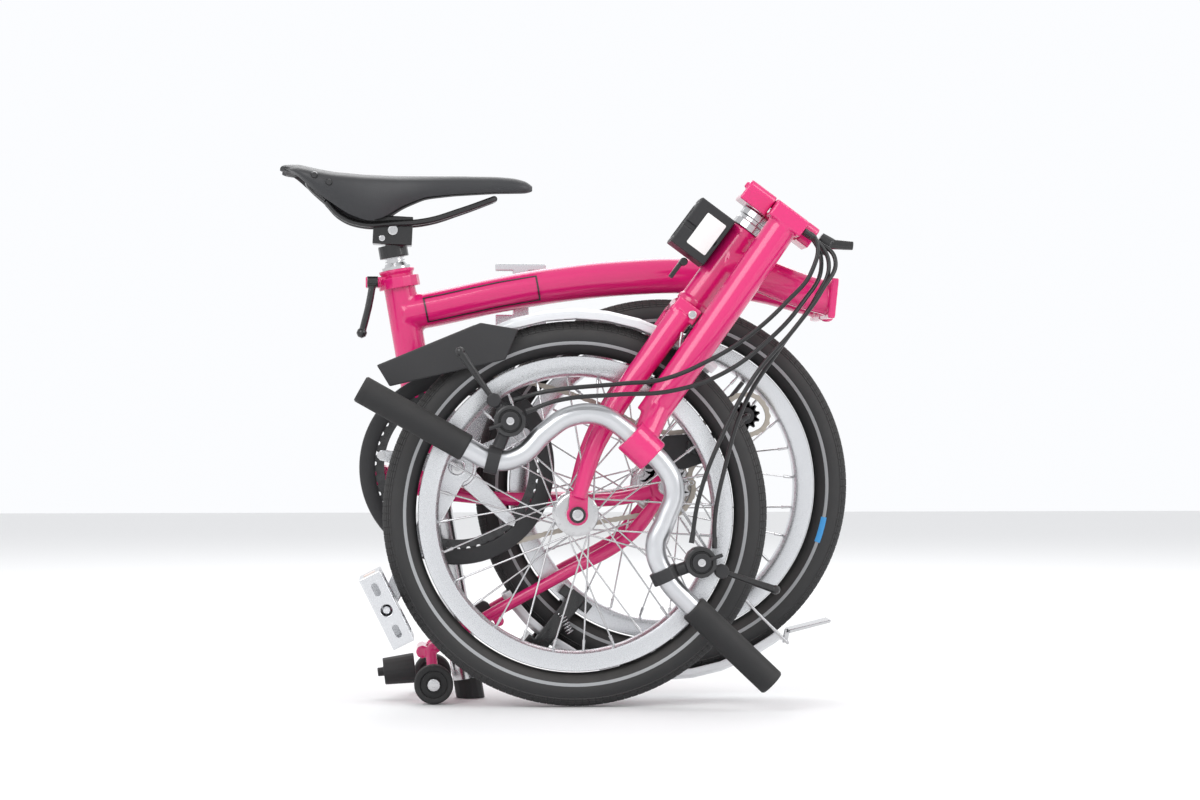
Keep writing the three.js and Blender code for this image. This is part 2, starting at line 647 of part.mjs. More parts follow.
const leftPod = point(-101, barPlane, 312);
const rightPod = point(103, barPlane, 161);
const leftLeverPivot = point(-118, barPlane, 334);
const rightLeverPivot = point(126, barPlane, 151);
const leftLeverTip = point(-154, barPlane, 386);
const rightLeverTip = point(184, barPlane, 131);
add('left_control', control(leftPod, point(-119, barPlane, 270.6), point(0.97, 0, -0.24),
  leftLeverPivot), blackPlastic);
add('right_control', control(rightPod, point(65, barPlane, 147), point(0.43, 0, -0.9), rightLeverPivot),
  blackPlastic);
add('left_brake_lever', brakeLever(leftLeverPivot, leftLeverTip), blackMetal);
add('right_brake_lever', brakeLever(rightLeverPivot, rightLeverTip), blackMetal);
add('left_shifter', shifter(leftPod, 200 * degree), blackPlastic);
add('right_shifter', shifter(rightPod, 20 * degree), blackPlastic);

// Stem clamp: plate and wing lever on the hinge's open side
const stemClampU = 66.5;

function stemClampLever() {
  const shank = rod(onSteer(stemAxisT, stemClampU, stemAxisY), onSteer(stemAxisT, 80, stemAxisY), 8, 12,
    10);
  const arm = rod(onSteer(stemAxisT, 76, stemAxisY), onSteer(stemAxisT + 16, 101, stemAxisY), 6, 10, 5);
  const tail = rod(onSteer(stemAxisT, 76, stemAxisY), onSteer(stemAxisT - 12, 80, stemAxisY), 5, 10, 4);
  return join(shank, arm, tail);
}

add('stem_clamp_lever', stemClampLever(), blackMetal);

// Cables, each held at both ends, on the handlepost's side
function cable(points) {
  return sweep(points, cableRadius, 8, 20);
}

// Each ends square to the right side of the hinge casting, a few millimetres from the next
const portT = stemAxisT - 7;
const portU = 45.6;

function port(y) {
  return [onSteer(portT, portU + 15, y), onSteer(portT, portU + 2 * clearance, y)];
}

add('front_brake_cable', cable([point(-96, -186, 334), point(-70, -197, 342), point(20, -199, 352),
  point(60, -199, 356), point(110, -199, 376), point(150, -196, 400), point(196, -191, 440),
  point(224, -184, 474), ...port(-177)]), rubber);
add('rear_brake_cable', cable([point(118, -190, 176), point(118, -196, 210), point(128, -196, 260),
  point(150, -194, 330), point(190, -188, 392), point(228, -181, 444), point(243, -174, 482),
  ...port(-170)]), rubber);
add('gear_cable_near', cable([point(92, -203, 182), point(100, -203, 230), point(122, -202, 290),
  point(160, -200, 360), point(206, -195, 414), point(234, -187, 452), point(250, -172, 487),
  ...port(-163)]), rubber);
add('gear_cable_far', cable([point(-84, -203, 322), point(-50, -206, 334), point(10, -207, 340),
  point(70, -206, 344), point(124, -205, 362), point(172, -202, 396), point(214, -186, 440),
  point(236, -166, 478), ...port(-156)]), rubber);

// Seat post, saddle clamp, rails and saddle
const neckFoot = 484;
const bungTop = 22;

function seatPost() {
  const post = rod(onSeat(bungTop + clearance), onSeat(neckFoot), seatPostRadius, 14);
  const neck = rod(onSeat(neckFoot - 2), onSeat(507), 9, 16);
  return join(post, neck);
}

function bung() {
  const foot = onSeat(postFloorGap - 4);
  return rod(foot, onSeat(bungTop), seatPostRadius, 14).subtract(
    block(point(foot.x, 0, postFloorGap - 10), point(80, 80, 20)));
}

function saddleClamp() {
  const ring = rod(onSeat(494), onSeat(508), 16.5, 20);
  const body = block(point(-226, 0, 524), point(44, 40, 32), 3 * degree);
  const neckHole = rod(onSeat(480), onSeat(507.3), 9 + clearance, 16);
  const rails = [-1, 1].map((side) => sweep(railPoints(side), 3.5 + clearance, 6, 10));
  return join(ring, body).subtract(neckHole).subtract(rails[0]).subtract(rails[1]);
}

function railPoints(side) {
  return [point(-300, side * 26, 556), point(-284, side * 24, 540), point(-262, side * 22, 531.5),
    point(-226, side * 22, 531.5), point(-190, side * 21, 534), point(-150, side * 16, 546),
    point(-112, side * 9, 560)];
}

function saddleRails() {
  const rails = [-1, 1].map((side) => sweep(railPoints(side), 3.5, 6, 10));
  const bridge = rod(point(-113, -9, 559.6), point(-113, 9, 559.6), 3.5, 8);
  return join(rails[0], rails[1], bridge);
}

function saddle() {
  const side = [[-349, 597], [-330, 597], [-290, 588], [-225, 585], [-150, 585.5], [-90, 584], [-74, 580],
    [-69, 573], [-76, 567], [-110, 566], [-160, 563], [-190, 560], [-216, 549], [-236, 534], [-252, 529],
    [-275, 536], [-310, 560], [-335, 583], [-349, 592]];
  const half = [[-349, 36], [-338, 60], [-315, 71], [-285, 71], [-250, 60], [-215, 40], [-180, 26],
    [-140, 20], [-95, 18], [-76, 14], [-69, 8]];
  const plan = [...half, ...half.map(([x, y]) => [x, -y]).reverse()];
  const shape = new THREE.Shape(plan.map(([x, y]) => new THREE.Vector2(x, y)));
  const above = new THREE.ExtrudeGeometry(shape, { depth: 120, bevelEnabled: false });
  above.translate(0, 0, 500);
  const hollowSide = [[-330, 560], [-320, 583], [-290, 579], [-225, 577], [-150, 577], [-104, 576],
    [-104, 540], [-160, 500], [-330, 500]];
  const inner = plan.map(([x, y]) => new THREE.Vector2(-210 + (x + 210) * 0.93, y * 0.86));
  const below = new THREE.ExtrudeGeometry(new THREE.Shape(inner), { depth: 120, bevelEnabled: false });
  below.translate(0, 0, 480);
  const hollow = plate(hollowSide, -90, 90).intersect(toSolid(below));
  return plate(side, -90, 90).intersect(toSolid(above)).subtract(hollow);
}

add('seat_post', seatPost(), alloy);
add('seat_post_bung', bung(), rubber);
add('saddle_clamp', saddleClamp(), blackMetal);
add('saddle_rails', saddleRails(), blackMetal);
add('saddle', saddle(), leather);

// Cranks, chain ring, guard and pedals
const rightEnd = point(bottomBracketX - crankLength * Math.sin(crankAngle), 0,
  bottomBracketZ - crankLength * Math.cos(crankAngle));
const leftEnd = point(bottomBracketX + crankLength * Math.sin(crankAngle), 0,
  bottomBracketZ + crankLength * Math.cos(crankAngle));
const spindleRadius = 8;
const crankInner = 54;
const crankOuter = 66;
const pedalSpindle = 4.5;

function crankArm(end, side) {
  const along = [side * crankInner, side * crankOuter].sort((a, b) => a - b);
  const middle = point(bottomBracketX, 0, bottomBracketZ);
  const out = end.clone().sub(middle).normalize();
  const flank = point(-out.z, 0, out.x);
  const wide = [middle.clone().addScaledVector(flank, 14), end.clone().addScaledVector(flank, 9),
    end.clone().addScaledVector(flank, -9), middle.clone().addScaledVector(flank, -14)];
  const arm = plate(wide.map((place) => [place.x, place.z]), ...along);
  const boss = crossBar(middle.x, middle.z, ...along, 18, 20);
  const eye = crossBar(end.x, end.z, ...along, 11, 16);
  return join(arm, boss, eye);
}

function rightCrank() {
  const spindle = crossBar(bottomBracketX, bottomBracketZ, -68, crankInner - clearance, spindleRadius, 16);
  const pedalShaft = crossBar(rightEnd.x, rightEnd.z, -152, -55, pedalSpindle, 12);
  const pedalCollar = crossBar(rightEnd.x, rightEnd.z, -69.5, -crankOuter, 7.5, 12);
  return join(crankArm(rightEnd, -1), spider(), spindle, pedalShaft, pedalCollar);
}

function spider() {
  const from = -50.2;
  const to = -47.1;
  const parts = [crossBar(bottomBracketX, bottomBracketZ, -crankInner - 1, to, 22, 20)];
  for (let i = 0; i < 5; i++) {
    const angle = crankAngle + i * 72 * degree;
    const out = point(-Math.sin(angle), 0, -Math.cos(angle));
    const flank = point(out.z, 0, -out.x);
    const outline = [[0, 13], [86, 6], [90, 0], [86, -6], [0, -13]].map(([r, s]) =>
      point(bottomBracketX, 0, bottomBracketZ).addScaledVector(out, r).addScaledVector(flank, s));
    parts.push(plate(outline.map((place) => [place.x, place.z]), from, to));
  }
  return join(...parts);
}

function flatRing(outer, inner, from, to, segments) {
  return turned([[inner, from], [outer, from], [outer, to], [inner, to]], segments);
}

const crankCentre = group(bottomBracketX, 0, bottomBracketZ);
add('right_crank', rightCrank(), alloy);
add('chain_ring', flatRing(ringRadius, 80, chainPlane - 1.8, chainPlane + 1.8, 36), blackMetal,
  crankCentre);
add('chain_guard', flatRing(ringRadius + guardGap, 90.5, -53.4, -50.5, 36), blackPlastic, crankCentre);

// Right pedal: a cage round a spindle, tilted along the front tyre
const pedalTilt = Math.atan2(frontWheelZ - rightEnd.z, frontWheelX - rightEnd.x);

function pedalCage() {
  const outer = block(point(0, -114, 0), point(25, 86, pedalLength));
  const holeDeep = block(point(0, -114, 0), point(40, 79, 26));
  const up = holeDeep.translate([0, 0, 22]);
  const down = holeDeep.translate([0, 0, -22]);
  const bore = crossBar(0, 0, -200, 0, pedalSpindle + 2, 14);
  return outer.subtract(up).subtract(down).subtract(bore);
}

const rightPedal = group(rightEnd.x, 0, rightEnd.z);
const tilted = group(0, 0, 0, rightPedal);
tilted.rotation.y = -pedalTilt + Math.PI;
add('right_pedal', pedalCage(), alloy, tilted);

// Left pedal: hinged, folded up along the crank
const foldY = 77;

function leftCrank() {
  return join(crankArm(leftEnd, 1), crossBar(leftEnd.x, leftEnd.z, crankOuter - 1, foldY - 8.4, 11, 14));
}

function leftPedalBody() {
  const eye = block(point(leftEnd.x, foldY, leftEnd.z + 3), point(24, 12, 16));
  const platform = block(point(leftEnd.x - 2, foldY + 4, leftEnd.z + 43), point(58, 22, 72));
  const lighten = block(point(leftEnd.x - 2, foldY + 4, leftEnd.z + 46), point(20, 40, 50));
  const left = lighten.translate([-19, 0, 0]);
  const right = lighten.translate([19, 0, 0]);
  return join(eye, platform).subtract(left).subtract(right);
}

add('left_crank', leftCrank(), alloy);
add('left_pedal', leftPedalBody(), blackPlastic);

// Rear frame: chain stays, seat stays, bridges and roller axle, open round the seat post
const rollerZ = rollerRadius + 0.4;

function chainStay(side) {
  return sweep([point(pivotX, side * 30, pivotZ), point(-200, side * 31, 236), point(-150, side * 32, 228),
    point(-60, side * 33, 223), point(-8, side * 47, 223), point(30, side * 57.5, 226),
    point(rearWheelX - 16, side * 58, 233)], stayRadius + 1, 8, 10);
}

function seatStay(side) {
  return sweep([point(rearWheelX - 8, side * 58, 224), point(40, side * 54, 186), point(-40, side * 45,
    139),
    point(-120, side * 34, 94), point(-184, side * 30, 56)], stayRadius, 8, 5);
}

function rearFrame() {
  const parts = [];
  for (const side of [-1, 1]) {
    const span = [side * 23, side * 37].sort((a, b) => a - b);
    const drop = [side * (rearHubHalf + 6), side * (rearHubHalf + 12)].sort((a, b) => a - b);
    parts.push(chainStay(side), seatStay(side));
    parts.push(crossBar(pivotX, pivotZ, ...span, 12, 12));
    parts.push(crossBar(rearWheelX, rearWheelZ, ...drop, 17, 14));
    parts.push(rod(point(-184, side * 30, 56), point(rollerX, side * 50, rollerZ + 6), stayRadius, 8));
    parts.push(crossBar(rollerX, rollerZ, ...[side * 42, side * 62].sort((a, b) => a - b), 8, 12));
  }
  parts.push(crossBar(-193, 54, -32, 32, stayRadius + 1, 8));
  parts.push(crossBar(-108, 88, -38, 38, stayRadius - 0.5, 8));
  const pivotBore = crossBar(pivotX, pivotZ, -60, 60, pivotPinRadius + clearance, 12);
  const axleBore = crossBar(rearWheelX, rearWheelZ, -80, 80, frontAxleRadius + clearance, 14);
  const rollerBore = crossBar(rollerX, rollerZ, -120, 120, 4 + clearance, 12);
  return join(...parts).subtract(pivotBore).subtract(axleBore).subtract(rollerBore);
}

add('rear_frame', rearFrame(), paint);

// Suspension block behind the cross piece
function suspensionBlock() {
  const body = rod(point(-201.2, 0, 34), point(-236, 0, 30), 17, 20, 15);
  const bolt = rod(point(-230, 0, 30.7), point(-243, 0, 29.2), 5, 12);
  const saddleCut = crossBar(-193, 54, -40, 40, stayRadius + 1 + 2 * clearance, 12);
  return join(body, bolt).subtract(saddleCut);
}

function stopDisc() {
  return crossBar(-126, 99, -9, 9, 10, 18).subtract(crossBar(-108, 88, -40, 40,
    stayRadius - 0.5 + 2 * clearance, 12));
}

add('suspension_block', suspensionBlock(), rubber);
add('stop_disc', stopDisc(), blackPlastic);

// Rear brake: an arch outside the mudguard with two arms, at an angle round the wheel
const rearBrakeAngle = 232;

function rearBrake() {
  const turn = (90 - rearBrakeAngle) * degree;
  const radial = (from, to, half, y) => {
    const geometry = new THREE.BoxGeometry(half * 2, y[1] - y[0], to - from);
    geometry.translate(0, (y[0] + y[1]) / 2, (from + to) / 2);
    geometry.rotateY(turn);
    return toSolid(geometry);
  };
  const archFoot = wheelRadius + 12;
  const armFoot = rimOuter - 19.5;
  const pad = [rimOuter - 17.5, rimOuter - 5.5];
  return join(radial(archFoot, archFoot + 14, 17, [-32, 32]), radial(armFoot, archFoot + 8, 9, [-32, -27]),
    radial(armFoot, archFoot + 8, 9, [27, 32]), radial(...pad, 20, [-29, -rimWidth / 2 - 2.5]),
    radial(...pad, 20, [rimWidth / 2 + 2.5, 29]));
}

const rearWheel = group(rearWheelX, mainPlane, rearWheelZ);
add('rear_brake', rearBrake(), blackMetal, rearWheel);
add('rear_mudguard', mudguardRing(wheelRadius + 6.2, 214, 308), guardSilver, rearWheel);

function tailBlade() {
  return plate([[219, 72], [266, 84], [266, 87.5], [219, 76]], -20, 20);
}

function mudguardStay() {
  const wire = (side) => sweep([point(rearWheelX + 12, side * 64, 222), point(150, side * 46, 130),
    point(216, side * 29, 62)], 2, 6, 4);
  const link = crossBar(216, 62, -30, 30, 2, 6);
  const lug = plate([[213, 60], [219, 60], [222, 76], [216, 76]], -3, 3);
  const eyes = [-1, 1].map((side) => crossBar(rearWheelX, rearWheelZ,
    ...[side * (rearHubHalf + 12 + clearance), side * (rearHubHalf + 14)].sort((a, b) => a - b), 9, 14));
  const arms = [-1, 1].map((side) => rod(point(rearWheelX + 4.5, side * 62, 232.5),
    point(rearWheelX + 13, side * 63.6, 220), 1.1, 6));
  const bore = crossBar(rearWheelX, rearWheelZ, -90, 90, frontAxleRadius + clearance, 14);
  return join(wire(-1), wire(1), link, lug, ...eyes, ...arms, tailBlade()).subtract(bore);
}

add('rear_mudguard_stay', mudguardStay(), steel);
add('rear_tyre', tyre(), rubber, rearWheel);
add('rear_rim', rim(), alloy, rearWheel);

// Rear hub with its sprocket on the chain side
function rearHub() {
  const body = hub(24, 33, 30, rearHubHalf);
  const sprocket = crossBar(0, 0, chainPlane - 1.6, chainPlane + 1.6, 27, 16);
  const bore = crossBar(0, 0, -90, 90, frontAxleRadius + clearance, 10);
  return join(body, sprocket).subtract(bore);
}

add('rear_hub', rearHub(), steel, rearWheel);
add('rear_axle', axle(72, 8.5, rearHubHalf + 14 + clearance), steel, rearWheel);

// Chain: one closed band round ring, sprocket and jockey wheel
const chainHalf = 3.4;
const chainRun = ringRadius + 9;
const jockeyX = 167;
const jockeyZ = 317;
const jockeyRadius = 16;

function chain() {
  const ringPath = (angle) => [bottomBracketX + chainRun * Math.cos(angle * degree),
    bottomBracketZ + chainRun * Math.sin(angle * degree)];
  const left = [75, 100, 125, 150, 175, 200, 225, 250, 275].map(ringPath);
  const lower = [[-103, 173], [-24, 193], [50, 206]];
  const cog = [-70, -35, 0, 30].map((angle) => [rearWheelX + 33 * Math.cos(angle * degree),
    rearWheelZ + 33 * Math.sin(angle * degree)]);
  const jockey = [[128, 281], [165, 293], [187, 303], [191, 321], [177, 339], [155, 338]];
  const upper = [[134, 318], [100, 300], [60, 302], [-8, 334], [-80, 355]];
  const path = [...left, ...lower, ...cog, ...jockey, ...upper].map(([x, z]) => point(x, 0, z));
  const curve = new THREE.CatmullRomCurve3(path, true, 'centripetal');
  const steps = 56;
  const outside = [];
  const inside = [];
  for (let i = 0; i < steps; i++) {
    const place = curve.getPointAt(i / steps);
    const tangent = curve.getTangentAt(i / steps);
    outside.push([place.x + tangent.z * chainHalf, place.z - tangent.x * chainHalf]);
    inside.push([place.x - tangent.z * chainHalf, place.z + tangent.x * chainHalf]);
  }
  const band = plate(outside, chainPlane - chainHalf, chainPlane + chainHalf);
  return band.subtract(plate(inside, chainPlane - 3 * chainHalf, chainPlane + 3 * chainHalf));
}

add('chain', chain(), steel);

function tensionerBody() {
  return plate([[52, 266], [54, 258], [98, 258], [122, 266], [118, 298], [64, 294]], -64, -52);
}

const armPivot = point(108, 0, 284);

function tensionerArm() {
  const arm = rod(point(armPivot.x, -69, armPivot.z), point(jockeyX, -69, jockeyZ), 4, 8);
  const post = crossBar(jockeyX, jockeyZ, -70, -37, 3.2, 10);
  const eye = crossBar(armPivot.x, armPivot.z, -73, -64.4, 9, 14);
  return join(arm, post, eye);
}

function jockeyWheel() {
  return crossPipe(0, 0, -49, -39, jockeyRadius, 3.2 + clearance, 20);
}

add('tensioner_body', tensionerBody(), blackPlastic);
add('tensioner_arm', tensionerArm(), blackMetal);
add('jockey_wheel', jockeyWheel(), blackPlastic, group(jockeyX, 0, jockeyZ));

// Rollers under the rear frame
function rollerAxle() {
  return join(crossBar(rollerX, rollerZ, -87, 87, 4, 12), crossBar(rollerX, rollerZ, -90, -86, 7, 12),
    crossBar(rollerX, rollerZ, 86, 90, 7, 12));
}

function roller() {
  return crossPipe(0, 0, -10, 10, rollerRadius, 4 + clearance, 26);
}

add('roller_axle', rollerAxle(), steel);
add('near_roller', roller(), rubber, group(rollerX, -rollerPlane, rollerZ));
add('far_roller', roller(), rubber, group(rollerX, rollerPlane, rollerZ));

// The origin is under the middle of the bicycle, on the ground
bicycle.updateMatrixWorld(true);
const bounds = new THREE.Box3().setFromObject(bicycle, true);
const middle = bounds.getCenter(point(0, 0, 0));
bicycle.position.set(-middle.x, -middle.y, -bounds.min.z);

export default bicycle;
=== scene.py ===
import json
import math

import bpy
import bmesh
from mathutils import Matrix, Vector


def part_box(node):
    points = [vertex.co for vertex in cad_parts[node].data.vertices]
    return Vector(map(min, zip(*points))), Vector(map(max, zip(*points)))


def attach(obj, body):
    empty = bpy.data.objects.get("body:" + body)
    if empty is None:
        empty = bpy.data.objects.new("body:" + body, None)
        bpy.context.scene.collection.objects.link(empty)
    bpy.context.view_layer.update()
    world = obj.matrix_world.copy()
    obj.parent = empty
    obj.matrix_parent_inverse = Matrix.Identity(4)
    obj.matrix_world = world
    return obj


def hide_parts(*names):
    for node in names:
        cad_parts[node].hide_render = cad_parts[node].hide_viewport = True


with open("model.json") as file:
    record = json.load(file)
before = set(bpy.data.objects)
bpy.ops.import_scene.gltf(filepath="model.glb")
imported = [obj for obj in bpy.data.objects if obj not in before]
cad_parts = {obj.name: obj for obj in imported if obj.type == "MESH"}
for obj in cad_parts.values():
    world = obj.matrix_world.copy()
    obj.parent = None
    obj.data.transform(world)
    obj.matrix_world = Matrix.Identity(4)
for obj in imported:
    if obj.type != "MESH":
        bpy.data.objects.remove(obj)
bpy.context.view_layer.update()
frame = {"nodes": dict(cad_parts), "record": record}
print("frame loaded:", len(frame["nodes"]), "nodes")

joints = {joint["name"]: joint for joint in frame["record"]["behaviour"]["joints"]}
crankJoint = Vector(joints["crank_spin"]["pos_m"])
shift = crankJoint - Vector((-0.155, 0.0, 0.260))  # from the drawing's own origin to the frame's


def at(x, y, z):  # a place of the drawing, in millimetres, in the frame
    return Vector((x, y, z)) * 0.001 + shift


steerUp = Vector(joints["steering"]["axis"])
steerSide = Vector((steerUp.z, 0.0, -steerUp.x))
crown = Vector(joints["steering"]["pos_m"])


def onSteer(up, side, y):  # along the steering axis, square to it, and across
    place = crown + steerUp * up * 0.001 + steerSide * side * 0.001
    place.y = y * 0.001 + shift.y
    return place


def deselect():
    if bpy.context.object and bpy.context.object.mode != "OBJECT":
        bpy.ops.object.mode_set(mode="OBJECT")
    bpy.ops.object.select_all(action="DESELECT")


def pick(piece):
    deselect()
    piece.select_set(True)
    bpy.context.view_layer.objects.active = piece


def applyModifier(piece, kind, **settings):
    pick(piece)
    modifier = piece.modifiers.new(kind.title(), kind)
    for key, value in settings.items():
        setattr(modifier, key, value)
    bpy.ops.object.modifier_apply(modifier=modifier.name)


def settle(piece):  # the piece's place goes into its mesh
    pick(piece)
    bpy.ops.object.transform_apply(location=True, rotation=True, scale=True)


def selectFaces(piece, test):  # in edit mode, faces by their place and normal
    mesh = bmesh.from_edit_mesh(piece.data)
    for face in mesh.faces:
        face.select_set(bool(test(face.calc_center_median(), face.normal)))
    mesh.select_flush_mode()
    bmesh.update_edit_mesh(piece.data)


def editMode(piece, selected="SELECT"):
    pick(piece)
    bpy.ops.object.mode_set(mode="EDIT")
    bpy.ops.mesh.select_mode(type="FACE")
    bpy.ops.mesh.select_all(action=selected)


def objectMode():
    bpy.ops.object.mode_set(mode="OBJECT")


def tidyMesh(piece):  # doubles merged, faces pointing out
    editMode(piece)
    bpy.ops.mesh.remove_doubles(threshold=0.00001)
    bpy.ops.mesh.normals_make_consistent(inside=False)
    objectMode()


def joinAll(pieces, name):
    deselect()
    for piece in pieces:
        piece.select_set(True)
    bpy.context.view_layer.objects.active = pieces[0]
    if len(pieces) > 1:
        bpy.ops.object.join()
    whole = bpy.context.object
    whole.name = name
    return whole


def finishPiece(piece, body, look, angle=40, nodes=()):
    settle(piece)
    piece.data.materials.clear()
    piece.data.materials.append(look)
    pick(piece)
    bpy.ops.object.shade_smooth_by_angle(angle=math.radians(angle))
    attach(piece, body)
    if nodes:
        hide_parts(*nodes)
    return piece


def copyNode(node, name):  # a merged copy of a node's mesh
    piece = bpy.data.objects.new(name, frame["nodes"][node].data.copy())
    bpy.context.scene.collection.objects.link(piece)
    editMode(piece)
    bpy.ops.mesh.remove_doubles(threshold=0.000002)
    objectMode()
    return piece


def tube(points, radius, name, sides=8, tapers=None, closed=False):  # a round bar along a smooth line
    curve = bpy.data.curves.new(name, "CURVE")
    curve.dimensions = "3D"
    curve.bevel_depth = radius * 0.001
    curve.bevel_resolution = sides
    curve.use_fill_caps = not closed
    curve.resolution_u = 10
    spline = curve.splines.new("BEZIER")
    spline.bezier_points.add(len(points) - 1)
    spline.use_cyclic_u = closed
    for index, (knot, place) in enumerate(zip(spline.bezier_points, points)):
        knot.co = place
        knot.handle_left_type = "AUTO"
        knot.handle_right_type = "AUTO"
        if tapers:
            knot.radius = tapers[index]
    piece = bpy.data.objects.new(name, curve)
    bpy.context.scene.collection.objects.link(piece)
    pick(piece)
    bpy.ops.object.convert(target="MESH")
    return bpy.context.object


def bar(start, end, radius, name, sides=32, endRadius=None):  # a straight bar
    along = end - start
    bpy.ops.mesh.primitive_cone_add(
        vertices=sides,
        radius1=radius * 0.001,
        radius2=(endRadius or radius) * 0.001,
        depth=along.length,
        location=(start + end) / 2,
    )
    piece = bpy.context.object
    piece.name = name
    piece.rotation_mode = "QUATERNION"
    piece.rotation_quaternion = along.to_track_quat("Z", "Y")
    settle(piece)
    return piece


# a closed outline of (radius, across) turned round
def spun(profile, centre, name, steps=96, axis=(0, 1, 0)):
    deselect()
    bpy.ops.mesh.primitive_circle_add(vertices=len(profile), radius=0.01, location=(0, 0, 0))
    piece = bpy.context.object
    piece.name = name
    for vertex, (radius, across) in zip(piece.data.vertices, profile):
        vertex.co = Vector((radius * 0.001, across * 0.001, 0.0))
    editMode(piece)
    bpy.ops.mesh.select_mode(type="VERT")
    bpy.ops.mesh.select_all(action="SELECT")
    bpy.ops.mesh.spin(steps=steps, angle=2 * math.pi, center=(0, 0, 0), axis=(0, 1, 0))
    objectMode()
    tidyMesh(piece)
    if Vector(axis) != Vector((0, 1, 0)):
        piece.rotation_mode = "QUATERNION"
        piece.rotation_quaternion = Vector((0, 1, 0)).rotation_difference(Vector(axis))
    piece.location = centre
    settle(piece)
    return piece


def newGroup(name, inputs, outputs):
    group = bpy.data.node_groups.new(name, "ShaderNodeTree")
    for label, kind, value in inputs:
        socket = group.interface.new_socket(name=label, in_out="INPUT", socket_type=kind)
        if value is not None:
            socket.default_value = value
    for label, kind in outputs:
        group.interface.new_socket(name=label, in_out="OUTPUT", socket_type=kind)
    return group, group.nodes.new("NodeGroupInput"), group.nodes.new("NodeGroupOutput")


def makeGrain():  # a fine surface texture: its value and the normal that it gives
    inputs = [
        ("Scale", "NodeSocketFloat", 800.0),
        ("Detail", "NodeSocketFloat", 4.0),
        ("Depth", "NodeSocketFloat", 0.1),
    ]
    outputs = [("Value", "NodeSocketFloat"), ("Normal", "NodeSocketVector")]
    group, source, result = newGroup("fineGrain", inputs, outputs)
    place = group.nodes.new("ShaderNodeTexCoord")
    noise = group.nodes.new("ShaderNodeTexNoise")
    bump = group.nodes.new("ShaderNodeBump")
    bump.inputs["Distance"].default_value = 0.0004
    group.links.new(place.outputs["Object"], noise.inputs["Vector"])
    group.links.new(source.outputs["Scale"], noise.inputs["Scale"])
    group.links.new(source.outputs["Detail"], noise.inputs["Detail"])
    group.links.new(noise.outputs["Fac"], bump.inputs["Height"])
    group.links.new(source.outputs["Depth"], bump.inputs["Strength"])
    group.links.new(noise.outputs["Fac"], result.inputs["Value"])
    group.links.new(bump.outputs["Normal"], result.inputs["Normal"])
    return group


def makeWear():  # where edges are rubbed: a mask broken up by noise
    inputs = [("Amount", "NodeSocketFloat", 0.3), ("Scale", "NodeSocketFloat", 90.0)]
    group, source, result = newGroup("edgeWear", inputs, [("Mask", "NodeSocketFloat")])
    place = group.nodes.new("ShaderNodeTexCoord")
    noise = group.nodes.new("ShaderNodeTexNoise")
    geometry = group.nodes.new("ShaderNodeNewGeometry")
    edge = group.nodes.new("ShaderNodeMapRange")
    edge.inputs["From Min"].default_value = 0.53
    edge.inputs["From Max"].default_value = 0.62
    broken = group.nodes.new("ShaderNodeMath")
    broken.operation = "MULTIPLY"
    scaled = group.nodes.new("ShaderNodeMath")
    scaled.operation = "MULTIPLY"
    group.links.new(place.outputs["Object"], noise.inputs["Vector"])
    group.links.new(source.outputs["Scale"], noise.inputs["Scale"])
    group.links.new(geometry.outputs["Pointiness"], edge.inputs["Value"])
    group.links.new(edge.outputs["Result"], broken.inputs[0])
    group.links.new(noise.outputs["Fac"], broken.inputs[1])
    group.links.new(broken.outputs["Value"], scaled.inputs[0])
    group.links.new(source.outputs["Amount"], scaled.inputs[1])
    group.links.new(scaled.outputs["Value"], result.inputs["Mask"])
    return group


def makeDust():  # a thin film of dust that lies on upward faces
    inputs = [("Amount", "NodeSocketFloat", 0.15), ("Scale", "NodeSocketFloat", 35.0)]
    group, source, result = newGroup("dustFilm", inputs, [("Mask", "NodeSocketFloat")])
    place = group.nodes.new("ShaderNodeTexCoord")
    noise = group.nodes.new("ShaderNodeTexNoise")
    noise.inputs["Detail"].default_value = 6.0
    parts = group.nodes.new("ShaderNodeSeparateXYZ")
    up = group.nodes.new("ShaderNodeMapRange")
    up.inputs["From Min"].default_value = -0.2
    patchy = group.nodes.new("ShaderNodeMath")
    patchy.operation = "MULTIPLY"
    scaled = group.nodes.new("ShaderNodeMath")
    scaled.operation = "MULTIPLY"
    group.links.new(place.outputs["Object"], noise.inputs["Vector"])
    group.links.new(source.outputs["Scale"], noise.inputs["Scale"])
    group.links.new(place.outputs["Normal"], parts.inputs["Vector"])
    group.links.new(parts.outputs["Z"], up.inputs["Value"])
    group.links.new(up.outputs["Result"], patchy.inputs[0])
    group.links.new(noise.outputs["Fac"], patchy.inputs[1])
    group.links.new(patchy.outputs["Value"], scaled.inputs[0])
    group.links.new(source.outputs["Amount"], scaled.inputs[1])
    group.links.new(scaled.outputs["Value"], result.inputs["Mask"])
    return group


grainGroup = makeGrain()
wearGroup = makeWear()
dustGroup = makeDust()
dustColour = (0.42, 0.38, 0.34, 1.0)


